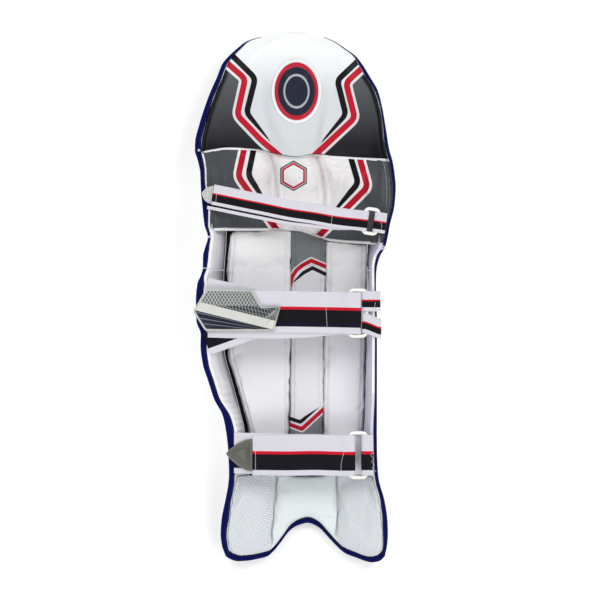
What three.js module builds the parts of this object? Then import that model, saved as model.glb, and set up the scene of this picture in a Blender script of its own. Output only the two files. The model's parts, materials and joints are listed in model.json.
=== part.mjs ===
// A cricket batting leg guard, lying on its front face with the leg side up.
// Millimetres, +Z up. +Y runs from the instep to the top of the thigh flap, +X to the right
// of someone who looks down into the guard. The origin is on the floor, under the middle.
import * as THREE from "three";
import { mergeVertices } from "three/addons/utils/BufferGeometryUtils.js";

// Overall sizes
const PAD_LENGTH = 730;
const PAD_WIDTH = 277.5;
const SIDE_DEPTH = 120;

// Foam walls and cushions
const SHELL_THICKNESS = 12;
const EDGE_CURL = 10;
const RIM_LINING = 3;
const RIM_TURNOVER = 4;
const HAT_DOME = 22;
const KNEE_CUSHION = 21;
const KNEE_EDGE = 3;
const BOLSTER_THICKNESS = 26;
const BOLSTER_EDGE = 14;
const STRIP_EDGE = 18;
const INSTEP_CUSHION = 13;
const SHIN_RIBS = 7;
const WING_BULGE = 4;

// Edge binding
const BINDING_HEIGHT = 12;
const BINDING_FOLD = 2;

// Clearances between sewn pieces
const SEAM_GAP = 0.6;
const SEAT_GAP = 0.5;

// Webbing, rings and moulded pieces
const WEBBING = 2;
const LAYER_GAP = 0.6;
const TOP_STRAP_WIDTH = 28;
const MIDDLE_STRAP_WIDTH = 57.5;
const BOTTOM_STRAP_WIDTH = 56;
const ARM_WIDTH = 17;
const LOOP_GAP = 1.7;
const RING_RAIL = 4.6;
const RING_CLEARANCE = 0.9;
const RING_CORNER = 6;
const RAIL_GAP = 0.5;
const TIP_THICKNESS = 4;
const TAB_THICKNESS = 4.5;
const BADGE_THICKNESS = 4;
const BADGE_WIDTH = 62;
const BADGE_HEIGHT = 82;

const LEFT = -1;
const RIGHT = 1;

// Plan outline of the whole guard. at: share of the length from the instep end.
// left and right: edges as shares of the width from the middle.
const OUTLINE = [
  { at: 0.012, left: -0.341, right: 0.448 },
  { at: 0.029, left: -0.358, right: 0.458 },
  { at: 0.055, left: -0.366, right: 0.463 },
  { at: 0.082, left: -0.361, right: 0.460 },
  { at: 0.119, left: -0.342, right: 0.445 },
  { at: 0.151, left: -0.327, right: 0.421 },
  { at: 0.166, left: -0.324, right: 0.414 },
  { at: 0.213, left: -0.328, right: 0.408 },
  { at: 0.251, left: -0.339, right: 0.407 },
  { at: 0.279, left: -0.355, right: 0.407 },
  { at: 0.309, left: -0.396, right: 0.407 },
  { at: 0.345, left: -0.427, right: 0.407 },
  { at: 0.375, left: -0.452, right: 0.407 },
  { at: 0.410, left: -0.463, right: 0.407 },
  { at: 0.431, left: -0.462, right: 0.407 },
  { at: 0.455, left: -0.483, right: 0.407 },
  { at: 0.495, left: -0.486, right: 0.403 },
  { at: 0.525, left: -0.479, right: 0.402 },
  { at: 0.542, left: -0.461, right: 0.403 },
  { at: 0.555, left: -0.452, right: 0.406 },
  { at: 0.578, left: -0.451, right: 0.423 },
  { at: 0.593, left: -0.441, right: 0.446 },
  { at: 0.613, left: -0.427, right: 0.460 },
  { at: 0.636, left: -0.444, right: 0.471 },
  { at: 0.673, left: -0.455, right: 0.494 },
  { at: 0.705, left: -0.462, right: 0.500 },
  { at: 0.735, left: -0.466, right: 0.494 },
  { at: 0.758, left: -0.479, right: 0.484 },
  { at: 0.777, left: -0.493, right: 0.470 },
  { at: 0.792, left: -0.492, right: 0.463 },
  { at: 0.822, left: -0.474, right: 0.451 },
  { at: 0.861, left: -0.442, right: 0.433 },
  { at: 0.890, left: -0.413, right: 0.412 },
  { at: 0.914, left: -0.385, right: 0.376 },
  { at: 0.940, left: -0.357, right: 0.334 },
  { at: 0.955, left: -0.324, right: 0.302 },
  { at: 0.968, left: -0.286, right: 0.255 },
  { at: 0.982, left: -0.239, right: 0.199 },
  { at: 0.989, left: -0.185, right: 0.156 },
  { at: 0.995, left: -0.121, right: 0.116 },
  { at: 0.998, left: -0.066, right: 0.087 },
  { at: 1.000, left: -0.027, right: 0.062 },
];

// Width of the binding seen from above, as shares of the guard's width.
const BINDING_WIDTHS = [
  { at: 0.012, left: 0.025, right: 0.015 },
  { at: 0.051, left: 0.029, right: 0.023 },
  { at: 0.082, left: 0.034, right: 0.024 },
  { at: 0.119, left: 0.028, right: 0.021 },
  { at: 0.213, left: 0.032, right: 0.015 },
  { at: 0.251, left: 0.039, right: 0.016 },
  { at: 0.318, left: 0.027, right: 0.010 },
  { at: 0.420, left: 0.029, right: 0.009 },
  { at: 0.523, left: 0.034, right: 0.006 },
  { at: 0.542, left: 0.016, right: 0.008 },
  { at: 0.578, left: 0.025, right: 0.015 },
  { at: 0.613, left: 0.012, right: 0.015 },
  { at: 0.673, left: 0.027, right: 0.012 },
  { at: 0.720, left: 0.020, right: 0.015 },
  { at: 0.790, left: 0.030, right: 0.017 },
  { at: 0.844, left: 0.027, right: 0.010 },
  { at: 0.929, left: 0.025, right: 0.020 },
  { at: 0.959, left: 0.020, right: 0.008 },
  { at: 0.987, left: 0.008, right: 0.003 },
  { at: 1.000, left: 0.001, right: 0.001 },
];

// Where the side wings leave the face, and the line of the shin, as shares of the width.
const FEET = [
  { at: 0.012, left: -0.210, right: 0.324, spine: 0.057 },
  { at: 0.082, left: -0.220, right: 0.334, spine: 0.057 },
  { at: 0.166, left: -0.230, right: 0.339, spine: 0.057 },
  { at: 0.247, left: -0.247, right: 0.346, spine: 0.057 },
  { at: 0.288, left: -0.272, right: 0.351, spine: 0.060 },
  { at: 0.326, left: -0.299, right: 0.354, spine: 0.060 },
  { at: 0.363, left: -0.326, right: 0.356, spine: 0.062 },
  { at: 0.399, left: -0.348, right: 0.359, spine: 0.062 },
  { at: 0.531, left: -0.351, right: 0.361, spine: 0.067 },
  { at: 0.621, left: -0.338, right: 0.364, spine: 0.067 },
  { at: 0.683, left: -0.338, right: 0.369, spine: 0.062 },
  { at: 0.777, left: -0.338, right: 0.359, spine: 0.042 },
  { at: 0.833, left: -0.309, right: 0.334, spine: 0.027 },
  { at: 0.914, left: -0.250, right: 0.270, spine: 0.013 },
  { at: 0.968, left: -0.190, right: 0.190, spine: 0.018 },
  { at: 1.000, left: -0.015, right: 0.050, spine: 0.018 },
];

// Side view. front: height of the face above the floor, and rim: height of the edge,
// both as shares of the depth.
const SIDE = [
  { at: 0.000, front: 0.025, rim: 0.342 },
  { at: 0.063, front: 0.042, rim: 0.408 },
  { at: 0.119, front: 0.058, rim: 0.483 },
  { at: 0.166, front: 0.067, rim: 0.600 },
  { at: 0.204, front: 0.067, rim: 0.675 },
  { at: 0.251, front: 0.067, rim: 0.760 },
  { at: 0.307, front: 0.067, rim: 0.867 },
  { at: 0.401, front: 0.067, rim: 0.933 },
  { at: 0.495, front: 0.067, rim: 0.933 },
  { at: 0.551, front: 0.067, rim: 0.908 },
  { at: 0.585, front: 0.082, rim: 0.888 },
  { at: 0.622, front: 0.100, rim: 0.870 },
  { at: 0.664, front: 0.100, rim: 0.850 },
  { at: 0.711, front: 0.100, rim: 0.775 },
  { at: 0.749, front: 0.100, rim: 0.658 },
  { at: 0.777, front: 0.100, rim: 0.533 },
  { at: 0.833, front: 0.108, rim: 0.458 },
  { at: 0.908, front: 0.142, rim: 0.408 },
  { at: 0.965, front: 0.183, rim: 0.375 },
  { at: 1.000, front: 0.217, rim: 0.350 },
];

// Lower edge of the instep: two ears with an arch between them.
// across: share of the instep's width from its left corner.
const INSTEP_EDGE = [
  { across: 0.000, at: 0.0120 },
  { across: 0.037, at: 0.0050 },
  { across: 0.081, at: 0.0020 },
  { across: 0.137, at: 0.0030 },
  { across: 0.205, at: 0.0065 },
  { across: 0.261, at: 0.0110 },
  { across: 0.301, at: 0.0210 },
  { across: 0.342, at: 0.0360 },
  { across: 0.408, at: 0.0610 },
  { across: 0.460, at: 0.0700 },
  { across: 0.516, at: 0.0740 },
  { across: 0.578, at: 0.0670 },
  { across: 0.658, at: 0.0430 },
  { across: 0.696, at: 0.0310 },
  { across: 0.745, at: 0.0180 },
  { across: 0.817, at: 0.0090 },
  { across: 0.922, at: 0.0000 },
  { across: 0.969, at: 0.0030 },
  { across: 1.000, at: 0.0120 },
];

// Upper and lower edges of the knee cushion, across from its left end.
const KNEE_EDGES = [
  { across: 0.00, top: 0.772, low: 0.6260 },
  { across: 0.15, top: 0.780, low: 0.6262 },
  { across: 0.30, top: 0.778, low: 0.6265 },
  { across: 0.40, top: 0.769, low: 0.6260 },
  { across: 0.50, top: 0.763, low: 0.6245 },
  { across: 0.62, top: 0.769, low: 0.6120 },
  { across: 0.70, top: 0.765, low: 0.6060 },
  { across: 1.00, top: 0.758, low: 0.5990 },
];
const KNEE_GROOVES = [0.372, 0.623];
const GROOVE_WIDTH = 0.035;
const GROOVE_DEPTH = 0.45;

// Edges of the long strip between the shin bolsters, as shares of the width.
const STRIP = [
  { at: 0.166, left: -0.026, right: 0.140 },
  { at: 0.290, left: -0.022, right: 0.141 },
  { at: 0.617, left: -0.017, right: 0.156 },
];

// Stations along the guard, as shares of its length
const HAT_LOW = 0.7540;
const WING_SPLIT = 0.5510;
const INSTEP_TOP = 0.1650;
const EAR_CORNER = 0.0120;
const KNEE_ROLLS = [
  { name: "knee_roll_upper", low: 0.7280, high: 0.7750 },
  { name: "knee_roll_middle", low: 0.6790, high: 0.7265 },
  { name: "knee_roll_lower", low: 0.6300, high: 0.6775 },
];

// Number helpers
function mix(a, b, t) {
  return a + (b - a) * t;
}

function clamp(value, low, high) {
  return Math.min(Math.max(value, low), high);
}

function easeIn(value) {
  const t = clamp(value, 0, 1);
  return t * t * (3 - 2 * t);
}

// Shares from 0 to 1, closer together near both ends
function closeAtEnds(count) {
  return Array.from({ length: count + 1 }, (_, i) => (1 - Math.cos((Math.PI * i) / count)) / 2);
}

function evenly(count) {
  return Array.from({ length: count + 1 }, (_, i) => i / count);
}

// A smooth curve through a table's named column that never overshoots its rows
function column(table, key, name, where) {
  const last = table.length - 1;
  const place = clamp(where, table[0][key], table[last][key]);
  let i = 0;
  while (i < last - 1 && table[i + 1][key] < place) {
    i += 1;
  }
  const slope = (k) => (table[k + 1][name] - table[k][name]) / (table[k + 1][key] - table[k][key]);
  const tangent = (k) => {
    if (k === 0) {
      return slope(0);
    }
    if (k === last) {
      return slope(last - 1);
    }
    const before = slope(k - 1);
    const after = slope(k);
    return before * after <= 0 ? 0 : (2 * before * after) / (before + after);
  };
  const step = table[i + 1][key] - table[i][key];
  const t = (place - table[i][key]) / step;
  const a = table[i][name];
  const b = table[i + 1][name];
  const h00 = 2 * t ** 3 - 3 * t ** 2 + 1;
  const h10 = t ** 3 - 2 * t ** 2 + t;
  const h01 = -2 * t ** 3 + 3 * t ** 2;
  const h11 = t ** 3 - t ** 2;
  return h00 * a + h10 * step * tangent(i) + h01 * b + h11 * step * tangent(i + 1);
}

function sideName(side) {
  return side === LEFT ? "left" : "right";
}

// Plan positions
function yAt(at) {
  return (at - 0.5) * PAD_LENGTH;
}

function edgeX(side, at) {
  return column(OUTLINE, "at", sideName(side), at) * PAD_WIDTH;
}

function bindingWidth(side, at) {
  return column(BINDING_WIDTHS, "at", sideName(side), at) * PAD_WIDTH;
}

// Where the foam ends and the binding starts
function insetX(side, at) {
  return edgeX(side, at) - side * (bindingWidth(side, at) + SEAM_GAP);
}

// Stations of the shin face. The wings' feet run straight between them, beside the face's seam.
const FACE_STATIONS = [
  INSTEP_TOP, 0.190, 0.220, 0.265, 0.310, 0.350, 0.400, 0.490,
  WING_SPLIT, 0.585, 0.600, 0.613, 0.622, 0.665, HAT_LOW,
];

function footX(side, at) {
  if (at <= FACE_STATIONS[0] || at >= HAT_LOW) {
    return column(FEET, "at", sideName(side), at) * PAD_WIDTH;
  }
  const next = FACE_STATIONS.findIndex((station) => station >= at);
  const low = FACE_STATIONS[next - 1];
  const high = FACE_STATIONS[next];
  const atLow = column(FEET, "at", sideName(side), low);
  const atHigh = column(FEET, "at", sideName(side), high);
  return mix(atLow, atHigh, (at - low) / (high - low)) * PAD_WIDTH;
}

function spineX(at) {
  return column(FEET, "at", "spine", at) * PAD_WIDTH;
}

// Heights
function frontZ(at) {
  return column(SIDE, "at", "front", at) * SIDE_DEPTH;
}

function rimZ(at) {
  return column(SIDE, "at", "rim", at) * SIDE_DEPTH;
}

// How far x lies from the spine: 1 at the wing's foot
function reachOf(x, at) {
  const spine = spineX(at);
  const side = x < spine ? LEFT : RIGHT;
  return { side, reach: (x - spine) / (footX(side, at) - spine) };
}

// The face stays flat near the spine, where the guard rests, and curls up to the wings
const FLAT_REACH = 0.28;
const CURL_POWER = 2.2;
const WALL_POWER = 1.6;

function curl(reach) {
  return EDGE_CURL * clamp((reach - FLAT_REACH) / (1 - FLAT_REACH), 0, 1) ** CURL_POWER;
}

// Front surface under the point x
function outerZ(x, at, edge) {
  const { side, reach } = reachOf(x, at);
  if (reach <= 1) {
    return frontZ(at) + curl(reach);
  }
  const foot = footX(side, at);
  const out = clamp((x - foot) / (edge(side, at) - foot), 0, 1);
  const footHeight = frontZ(at) + EDGE_CURL;
  return footHeight + (rimZ(at) - BINDING_HEIGHT - footHeight) * (1 - Math.sqrt(1 - out * out));
}

// Leg-side surface of the foam shell above the point x
function innerZ(x, at) {
  const { side, reach } = reachOf(x, at);
  if (reach <= 1) {
    return frontZ(at) + curl(reach) + SHELL_THICKNESS;
  }
  const foot = footX(side, at);
  const out = clamp((x - foot) / (insetX(side, at) - foot), 0, 1);
  const footHeight = frontZ(at) + EDGE_CURL + SHELL_THICKNESS;
  return footHeight + (rimZ(at) - RIM_LINING - footHeight) * out ** WALL_POWER;
}

// Meshes
function bufferOf(points, faces) {
  const geometry = new THREE.BufferGeometry();
  const flat = points.flatMap((p) => [p.x, p.y, p.z]);
  geometry.setAttribute("position", new THREE.Float32BufferAttribute(flat, 3));
  geometry.setIndex(faces.flat());
  return pointOutwards(mergeVertices(geometry, 1e-3));
}

// Turns every face round when the closed body came out inside out
function pointOutwards(geometry) {
  const place = geometry.getAttribute("position");
  const index = geometry.getIndex().array;
  const corner = (k) => new THREE.Vector3().fromBufferAttribute(place, index[k]);
  let volume = 0;
  for (let i = 0; i < index.length; i += 3) {
    volume += corner(i).dot(corner(i + 1).cross(corner(i + 2)));
  }
  if (volume < 0) {
    for (let i = 0; i < index.length; i += 3) {
      const first = index[i];
      index[i] = index[i + 1];
      index[i + 1] = first;
    }
  }
  return geometry;
}

// A closed pad between two surfaces over one grid of shares u across and v along.
// outer and inner give a point for each u and v.
function slab(across, along, outer, inner) {
  const columns = across.length;
  const rows = along.length;
  const points = [];
  for (const surface of [outer, inner]) {
    for (const v of along) {
      for (const u of across) {
        points.push(surface(u, v));
      }
    }
  }
  const id = (layer, row, col) => layer * rows * columns + row * columns + col;
  const faces = [];
  const quad = (a, b, c, d) => {
    faces.push([a, b, c], [a, c, d]);
  };
  for (let r = 0; r < rows - 1; r += 1) {
    for (let c = 0; c < columns - 1; c += 1) {
      quad(id(0, r, c), id(0, r, c + 1), id(0, r + 1, c + 1), id(0, r + 1, c));
      quad(id(1, r, c), id(1, r + 1, c), id(1, r + 1, c + 1), id(1, r, c + 1));
    }
  }
  const border = [];
  for (let c = 0; c < columns - 1; c += 1) {
    border.push([0, c]);
  }
  for (let r = 0; r < rows - 1; r += 1) {
    border.push([r, columns - 1]);
  }
  for (let c = columns - 1; c > 0; c -= 1) {
    border.push([rows - 1, c]);
  }
  for (let r = rows - 1; r > 0; r -= 1) {
    border.push([r, 0]);
  }
  border.forEach(([r, c], i) => {
    const [nextRow, nextCol] = border[(i + 1) % border.length];
    quad(id(0, nextRow, nextCol), id(0, r, c), id(1, r, c), id(1, nextRow, nextCol));
  });
  return bufferOf(points, faces);
}

// A body lofted through rings of points. An open loft gets a flat cap at both ends.
function loft(rings, closed) {
  const size = rings[0].length;
  const points = rings.flat();
  const faces = [];
  const spans = closed ? rings.length : rings.length - 1;
  for (let i = 0; i < spans; i += 1) {
    const next = (i + 1) % rings.length;
    for (let k = 0; k < size; k += 1) {
      const a = i * size + k;
      const b = i * size + ((k + 1) % size);
      const c = next * size + ((k + 1) % size);
      const d = next * size + k;
      faces.push([a, b, c], [a, c, d]);
    }
  }
  if (!closed) {
    capFaces(rings[0]).forEach(([a, b, c]) => faces.push([c, b, a]));
    const start = (rings.length - 1) * size;
    capFaces(rings[rings.length - 1]).forEach(([a, b, c]) => faces.push([start + a, start + b, start + c]));
  }
  return bufferOf(points, faces);
}

// Triangles over one ring, seen along the direction it faces
function capFaces(ring) {
  const normal = new THREE.Vector3();
  ring.forEach((p, i) => normal.add(p.clone().cross(ring[(i + 1) % ring.length])));
  normal.normalize();
  const right = ring[1].clone().sub(ring[0]);
  right.addScaledVector(normal, -right.dot(normal)).normalize();
  const up = normal.clone().cross(right);
  const flat = ring.map((p) => new THREE.Vector2(p.dot(right), p.dot(up)));
  return THREE.ShapeUtils.triangulateShape(flat, []);
}

// Finishes
function finish(colour, roughness, metalness = 0) {
  return new THREE.MeshStandardMaterial({ color: colour, roughness, metalness });
}

const WHITE_LEATHER = finish(0xeeeef2, 0.4);
const WHITE_MESH = finish(0xe4e4ea, 0.85);
const GREY_PANEL = finish(0x4c5054, 0.5);
const NAVY_BINDING = finish(0x0a1a5c, 0.7);
const STRIPED_WEBBING = finish(0x14151c, 0.8);
const PLAIN_WEBBING = finish(0xdcdae8, 0.8);
const RING_PLASTIC = finish(0xeceae0, 0.35);
const TIP_RUBBER = finish(0x7d7f76, 0.45, 0.3);
const BADGE_RUBBER = finish(0x1c2440, 0.4);

const pad = new THREE.Group();

function add(name, geometry, material, group = pad) {
  const mesh = new THREE.Mesh(geometry, material);
  mesh.name = name;
  group.add(mesh);
  return mesh;
}

// Face of the guard

const HAT_STATIONS = [
  HAT_LOW, 0.764, 0.773, 0.782, 0.794, 0.820, 0.850, 0.880, 0.908,
  0.932, 0.952, 0.966, 0.978, 0.987, 0.994, 0.998, 1,
];
const BINDING_TOP = 0.990;

function topHat() {
  const place = (height) => (u, at) => {
    const x = mix(insetX(LEFT, at), insetX(RIGHT, at), u);
    return new THREE.Vector3(x, yAt(at), height(x, at));
  };
  const front = place((x, at) => outerZ(x, at, insetX));
  const back = place(hatShellTop);
  return slab(closeAtEnds(14), HAT_STATIONS, front, back);
}

// Stations shared by the shin face and the wings, so that their seams run side by side
const SHIN_STATIONS = [
  INSTEP_TOP, 0.190, 0.220, 0.242, 0.265, 0.290, 0.310, 0.330, 0.350, 0.375, 0.400, 0.431, 0.455, 0.490,
  0.525, 0.540, WING_SPLIT, 0.575, 0.593, 0.613, 0.636, 0.665, 0.705, 0.735, HAT_LOW,
];

// Share along a run of stations with a small seam left free at both ends
function trimmed(stations, low, high) {
  const seam = SEAM_GAP / PAD_LENGTH / 2;
  const inside = stations.filter((at) => at > low + seam && at < high - seam);
  return [low + seam, ...inside, high - seam];
}

// The ribs of the shin fade out at both ends of the panel
const RIB_SPAN = { low: 0.17, lowFade: 0.03, high: 0.612, highFade: 0.02 };
const RIB_ROUNDNESS = 0.6;

function shinFace() {
  const perRib = 4;
  const { low, lowFade, high, highFade } = RIB_SPAN;
  const xOf = (u, at) => {
    const left = footX(LEFT, at) + SEAM_GAP / 2;
    const right = footX(RIGHT, at) - SEAM_GAP / 2;
    return mix(left, right, u);
  };
  const ribs = (u, at) => {
    const swell = Math.abs(Math.sin(Math.PI * SHIN_RIBS * u)) ** RIB_ROUNDNESS;
    const fade = easeIn((at - low) / lowFade) * easeIn((high - at) / highFade);
    return frontZ(at) * swell * fade;
  };
  const front = (u, at) => {
    const x = xOf(u, at);
    return new THREE.Vector3(x, yAt(at), outerZ(x, at, edgeX) - ribs(u, at));
  };
  const back = (u, at) => {
    const x = xOf(u, at);
    return new THREE.Vector3(x, yAt(at), innerZ(x, at));
  };
  return slab(evenly(SHIN_RIBS * perRib), trimmed(FACE_STATIONS, INSTEP_TOP, HAT_LOW), front, back);
}

// One side wing: a padded wall that sweeps out from the face and up to the rim,
// with a notch along its top edge for the binding
const BULGE_FADE = 0.05;

function wingSection(side, at) {
  const foot = footX(side, at) + (side * SEAM_GAP) / 2;
  const edge = edgeX(side, at);
  const inset = insetX(side, at);
  const low = frontZ(at) + EDGE_CURL;
  const rim = rimZ(at);
  const notch = rim - BINDING_HEIGHT - SEAM_GAP;
  const y = yAt(at);
  const section = [];
  for (const turn of [0, 30, 55, 75, 90]) {
    const angle = THREE.MathUtils.degToRad(turn);
    const x = foot + (edge - foot) * Math.sin(angle);
    const z = low + (notch - low) * (1 - Math.cos(angle));
    section.push(new THREE.Vector3(x, y, z));
  }
  section.push(new THREE.Vector3(inset, y, notch));
  section.push(new THREE.Vector3(inset, y, rim - BINDING_FOLD / 2));
  const bulge = WING_BULGE * rimRoom(side, at) * easeIn((WING_SPLIT - at) / BULGE_FADE);
  for (const t of [0, 0.3, 0.65, 1]) {
    const x = mix(turnoverX(side, at), foot, t) - side * bulge * Math.sin(Math.PI * t);
    const z = mix(rim, low + SHELL_THICKNESS, t);
    section.push(new THREE.Vector3(x, y, z));
  }
  return section;
}

// Where a wing's lining turns over its rim
function turnoverX(side, at) {
  return insetX(side, at) - side * RIM_TURNOVER * rimRoom(side, at);
}

// Height of a wing's leg side above the point x, where the knee cushion covers it
function wingInnerZ(side, x, at) {
  const t = clamp((x - turnoverX(side, at)) / (footX(side, at) - turnoverX(side, at)), 0, 1);
  return mix(rimZ(at), frontZ(at) + EDGE_CURL + SHELL_THICKNESS, t);
}

// 1 where a wing is wide, less where its rim nearly stands over its foot
function rimRoom(side, at) {
  const room = Math.abs(insetX(side, at) - footX(side, at));
  return clamp(room / (3 * RIM_TURNOVER), 0.1, 1);
}

function wing(side, low, high) {
  return loft(trimmed(SHIN_STATIONS, low, high).map((at) => wingSection(side, at)), false);
}

// Horizontal padded rolls across the front of the knee
const ROLL_INSET = 0.015;
const ROLL_EDGE = 0.35;
const ROLL_END = 0.5;

function kneeRoll({ low, high }) {
  const across = closeAtEnds(10);
  const lengths = [0, 0.1, 0.3, 0.7, 0.9, 1];
  const at = (v) => mix(low, high, v);
  const end = ROLL_INSET * PAD_WIDTH;
  const xOf = (u, v) => mix(footX(LEFT, at(v)) + end, footX(RIGHT, at(v)) - end, u);
  const round = (v) => Math.min(1, ROLL_EDGE + 4 * ROLL_EDGE * Math.sin(Math.PI * v));
  const ends = (u) => Math.min(1, ROLL_END + 4 * ROLL_END * Math.sin(Math.PI * u));
  const front = (u, v) => {
    const x = xOf(u, v);
    const depth = frontZ(at(v)) * round(v) * ends(u);
    return new THREE.Vector3(x, yAt(at(v)), outerZ(x, at(v), edgeX) - depth);
  };
  const back = (u, v) => {
    const x = xOf(u, v);
    return new THREE.Vector3(x, yAt(at(v)), outerZ(x, at(v), edgeX) - SEAT_GAP);
  };
  return slab(across, lengths, front, back);
}

// Instep: its grid runs from the ankle seam down to the ears and the arch
const INSTEP_STEPS = [0, 0.2, 0.4, 0.6, 0.8, 0.92, 1];
const INSTEP_COLUMNS = INSTEP_EDGE.map((row) => row.across);

function instepPoint(u, v, height) {
  const band = bindingWidth(LEFT, INSTEP_TOP) / PAD_LENGTH;
  const seam = SEAM_GAP / PAD_LENGTH;
  const lowest = column(INSTEP_EDGE, "across", "at", u) + band + seam;
  const at = mix(INSTEP_TOP - seam / 2, lowest, v);
  const sideAt = mix(INSTEP_TOP, EAR_CORNER + band, v);
  const x = mix(insetX(LEFT, sideAt), insetX(RIGHT, sideAt), u);
  return new THREE.Vector3(x, yAt(at), height(x, sideAt));
}

function instepFlare() {
  const front = (u, v) => instepPoint(u, v, (x, at) => outerZ(x, at, insetX));
  const back = (u, v) => instepPoint(u, v, (x, at) => Math.min(innerZ(x, at), rimZ(at) - RIM_LINING));
  return slab(INSTEP_COLUMNS, INSTEP_STEPS, front, back);
}

// Binding: a folded tape on the whole edge except the top of the thigh flap.
// Each station has a point on the outline, a point on the inset line and the rim's height.
function bindingStations() {
  const hat = HAT_STATIONS.filter((at) => at > HAT_LOW && at < BINDING_TOP);
  const shin = SHIN_STATIONS;
  const tall = [0.035, 0.055, 0.082, 0.110, 0.140, ...shin, ...hat].reverse();
  const seam = SEAM_GAP / 2;
  const upright = (side) => (at) => ({
    outer: new THREE.Vector2(edgeX(side, at), yAt(at)),
    inner: new THREE.Vector2(insetX(side, at) + side * seam, yAt(at)),
    rim: rimZ(at),
  });
  const band = bindingWidth(LEFT, INSTEP_TOP) / PAD_LENGTH;
  const lower = INSTEP_COLUMNS.map((u) => {
    const at = column(INSTEP_EDGE, "across", "at", u);
    const x = mix(edgeX(LEFT, EAR_CORNER), edgeX(RIGHT, EAR_CORNER), u);
    const inside = mix(insetX(LEFT, EAR_CORNER + band), insetX(RIGHT, EAR_CORNER + band), u);
    const height = outerZ(inside, EAR_CORNER + band, insetX) + BINDING_HEIGHT;
    return {
      outer: new THREE.Vector2(x, yAt(at)),
      inner: new THREE.Vector2(inside, yAt(at + band)),
      rim: height,
    };
  });
  const leftSide = tall.map(upright(LEFT));
  const rightSide = [...tall].reverse().map(upright(RIGHT));
  return [...leftSide, ...lower, ...rightSide];
}

function edgeBinding() {
  const rings = bindingStations().map(({ outer, inner, rim }) => {
    const at = (share, z) => {
      const p = outer.clone().lerp(inner, share);
      return new THREE.Vector3(p.x, p.y, z);
    };
    return [
      at(0, rim - BINDING_HEIGHT),
      at(0, rim - BINDING_FOLD),
      at(0.35, rim),
      at(0.7, rim),
      at(1, rim - BINDING_FOLD),
      at(1, rim - BINDING_HEIGHT),
    ];
  });
  return loft(rings, false);
}

// Leg side

// Share of the way from the knee cushion's left end to its right end
function kneeEnd(side, at) {
  return insetX(side, at) - side * (RIM_TURNOVER * rimRoom(side, at) + SEAM_GAP);
}

function kneeShare(x, at) {
  return (x - kneeEnd(LEFT, at)) / (kneeEnd(RIGHT, at) - kneeEnd(LEFT, at));
}

// Station of the cushion's top or low edge at the point x
function kneeEdge(name, x) {
  let at = KNEE_EDGES[0][name];
  for (let pass = 0; pass < 4; pass += 1) {
    at = column(KNEE_EDGES, "across", name, clamp(kneeShare(x, at), 0, 1));
  }
  return at;
}

const LINING_LOW = 0.774;
const LINING_STEP = 0.01;

// The lining is raised in the middle and falls away to the edges
const DOME_POWER = 2.4;
const DOME_RISE = 0.09;
const DOME_FALL = { share: 0.35, over: 0.05 };

function hatDome(u, at) {
  const over = 1 - Math.abs(2 * u - 1) ** DOME_POWER;
  const rise = easeIn((1 - at) / DOME_RISE);
  const fall = 1 - DOME_FALL.share * easeIn((HAT_LOW + DOME_FALL.over - at) / DOME_FALL.over);
  return HAT_DOME * over * rise * fall;
}

function hatShellTop(x, at) {
  return Math.min(innerZ(x, at), rimZ(at) - RIM_LINING);
}

function hatLining() {
  const clear = LINING_LOW + LINING_STEP;
  const stations = HAT_STATIONS.filter((at) => at > clear);
  const place = (height) => (u, v) => {
    const plain = mix(insetX(LEFT, v), insetX(RIGHT, v), u);
    const lowest = kneeEdge("top", plain) + (3 * SEAM_GAP) / PAD_LENGTH;
    const at = v < clear ? lowest : v;
    const x = mix(insetX(LEFT, at), insetX(RIGHT, at), u);
    return new THREE.Vector3(x, yAt(at), height(x, at, u));
  };
  const under = place((x, at) => hatShellTop(x, at) + SEAT_GAP * (1 + easeIn((clear - at) / LINING_STEP)));
  const over = place((x, at, u) => hatShellTop(x, at) + RIM_LINING + hatDome(u, at));
  return slab(closeAtEnds(14), [LINING_LOW, ...stations], under, over);
}

// Height of the lining's top at a point, for what sits on it
function hatTop(x, at) {
  const u = clamp((x - insetX(LEFT, at)) / (insetX(RIGHT, at) - insetX(LEFT, at)), 0, 1);
  return hatShellTop(x, at) + RIM_LINING + hatDome(u, at);
}

// Oval moulded badge, seated on the dome
const BADGE_AT = 0.8876;
const BADGE_X = 0.010;

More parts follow.
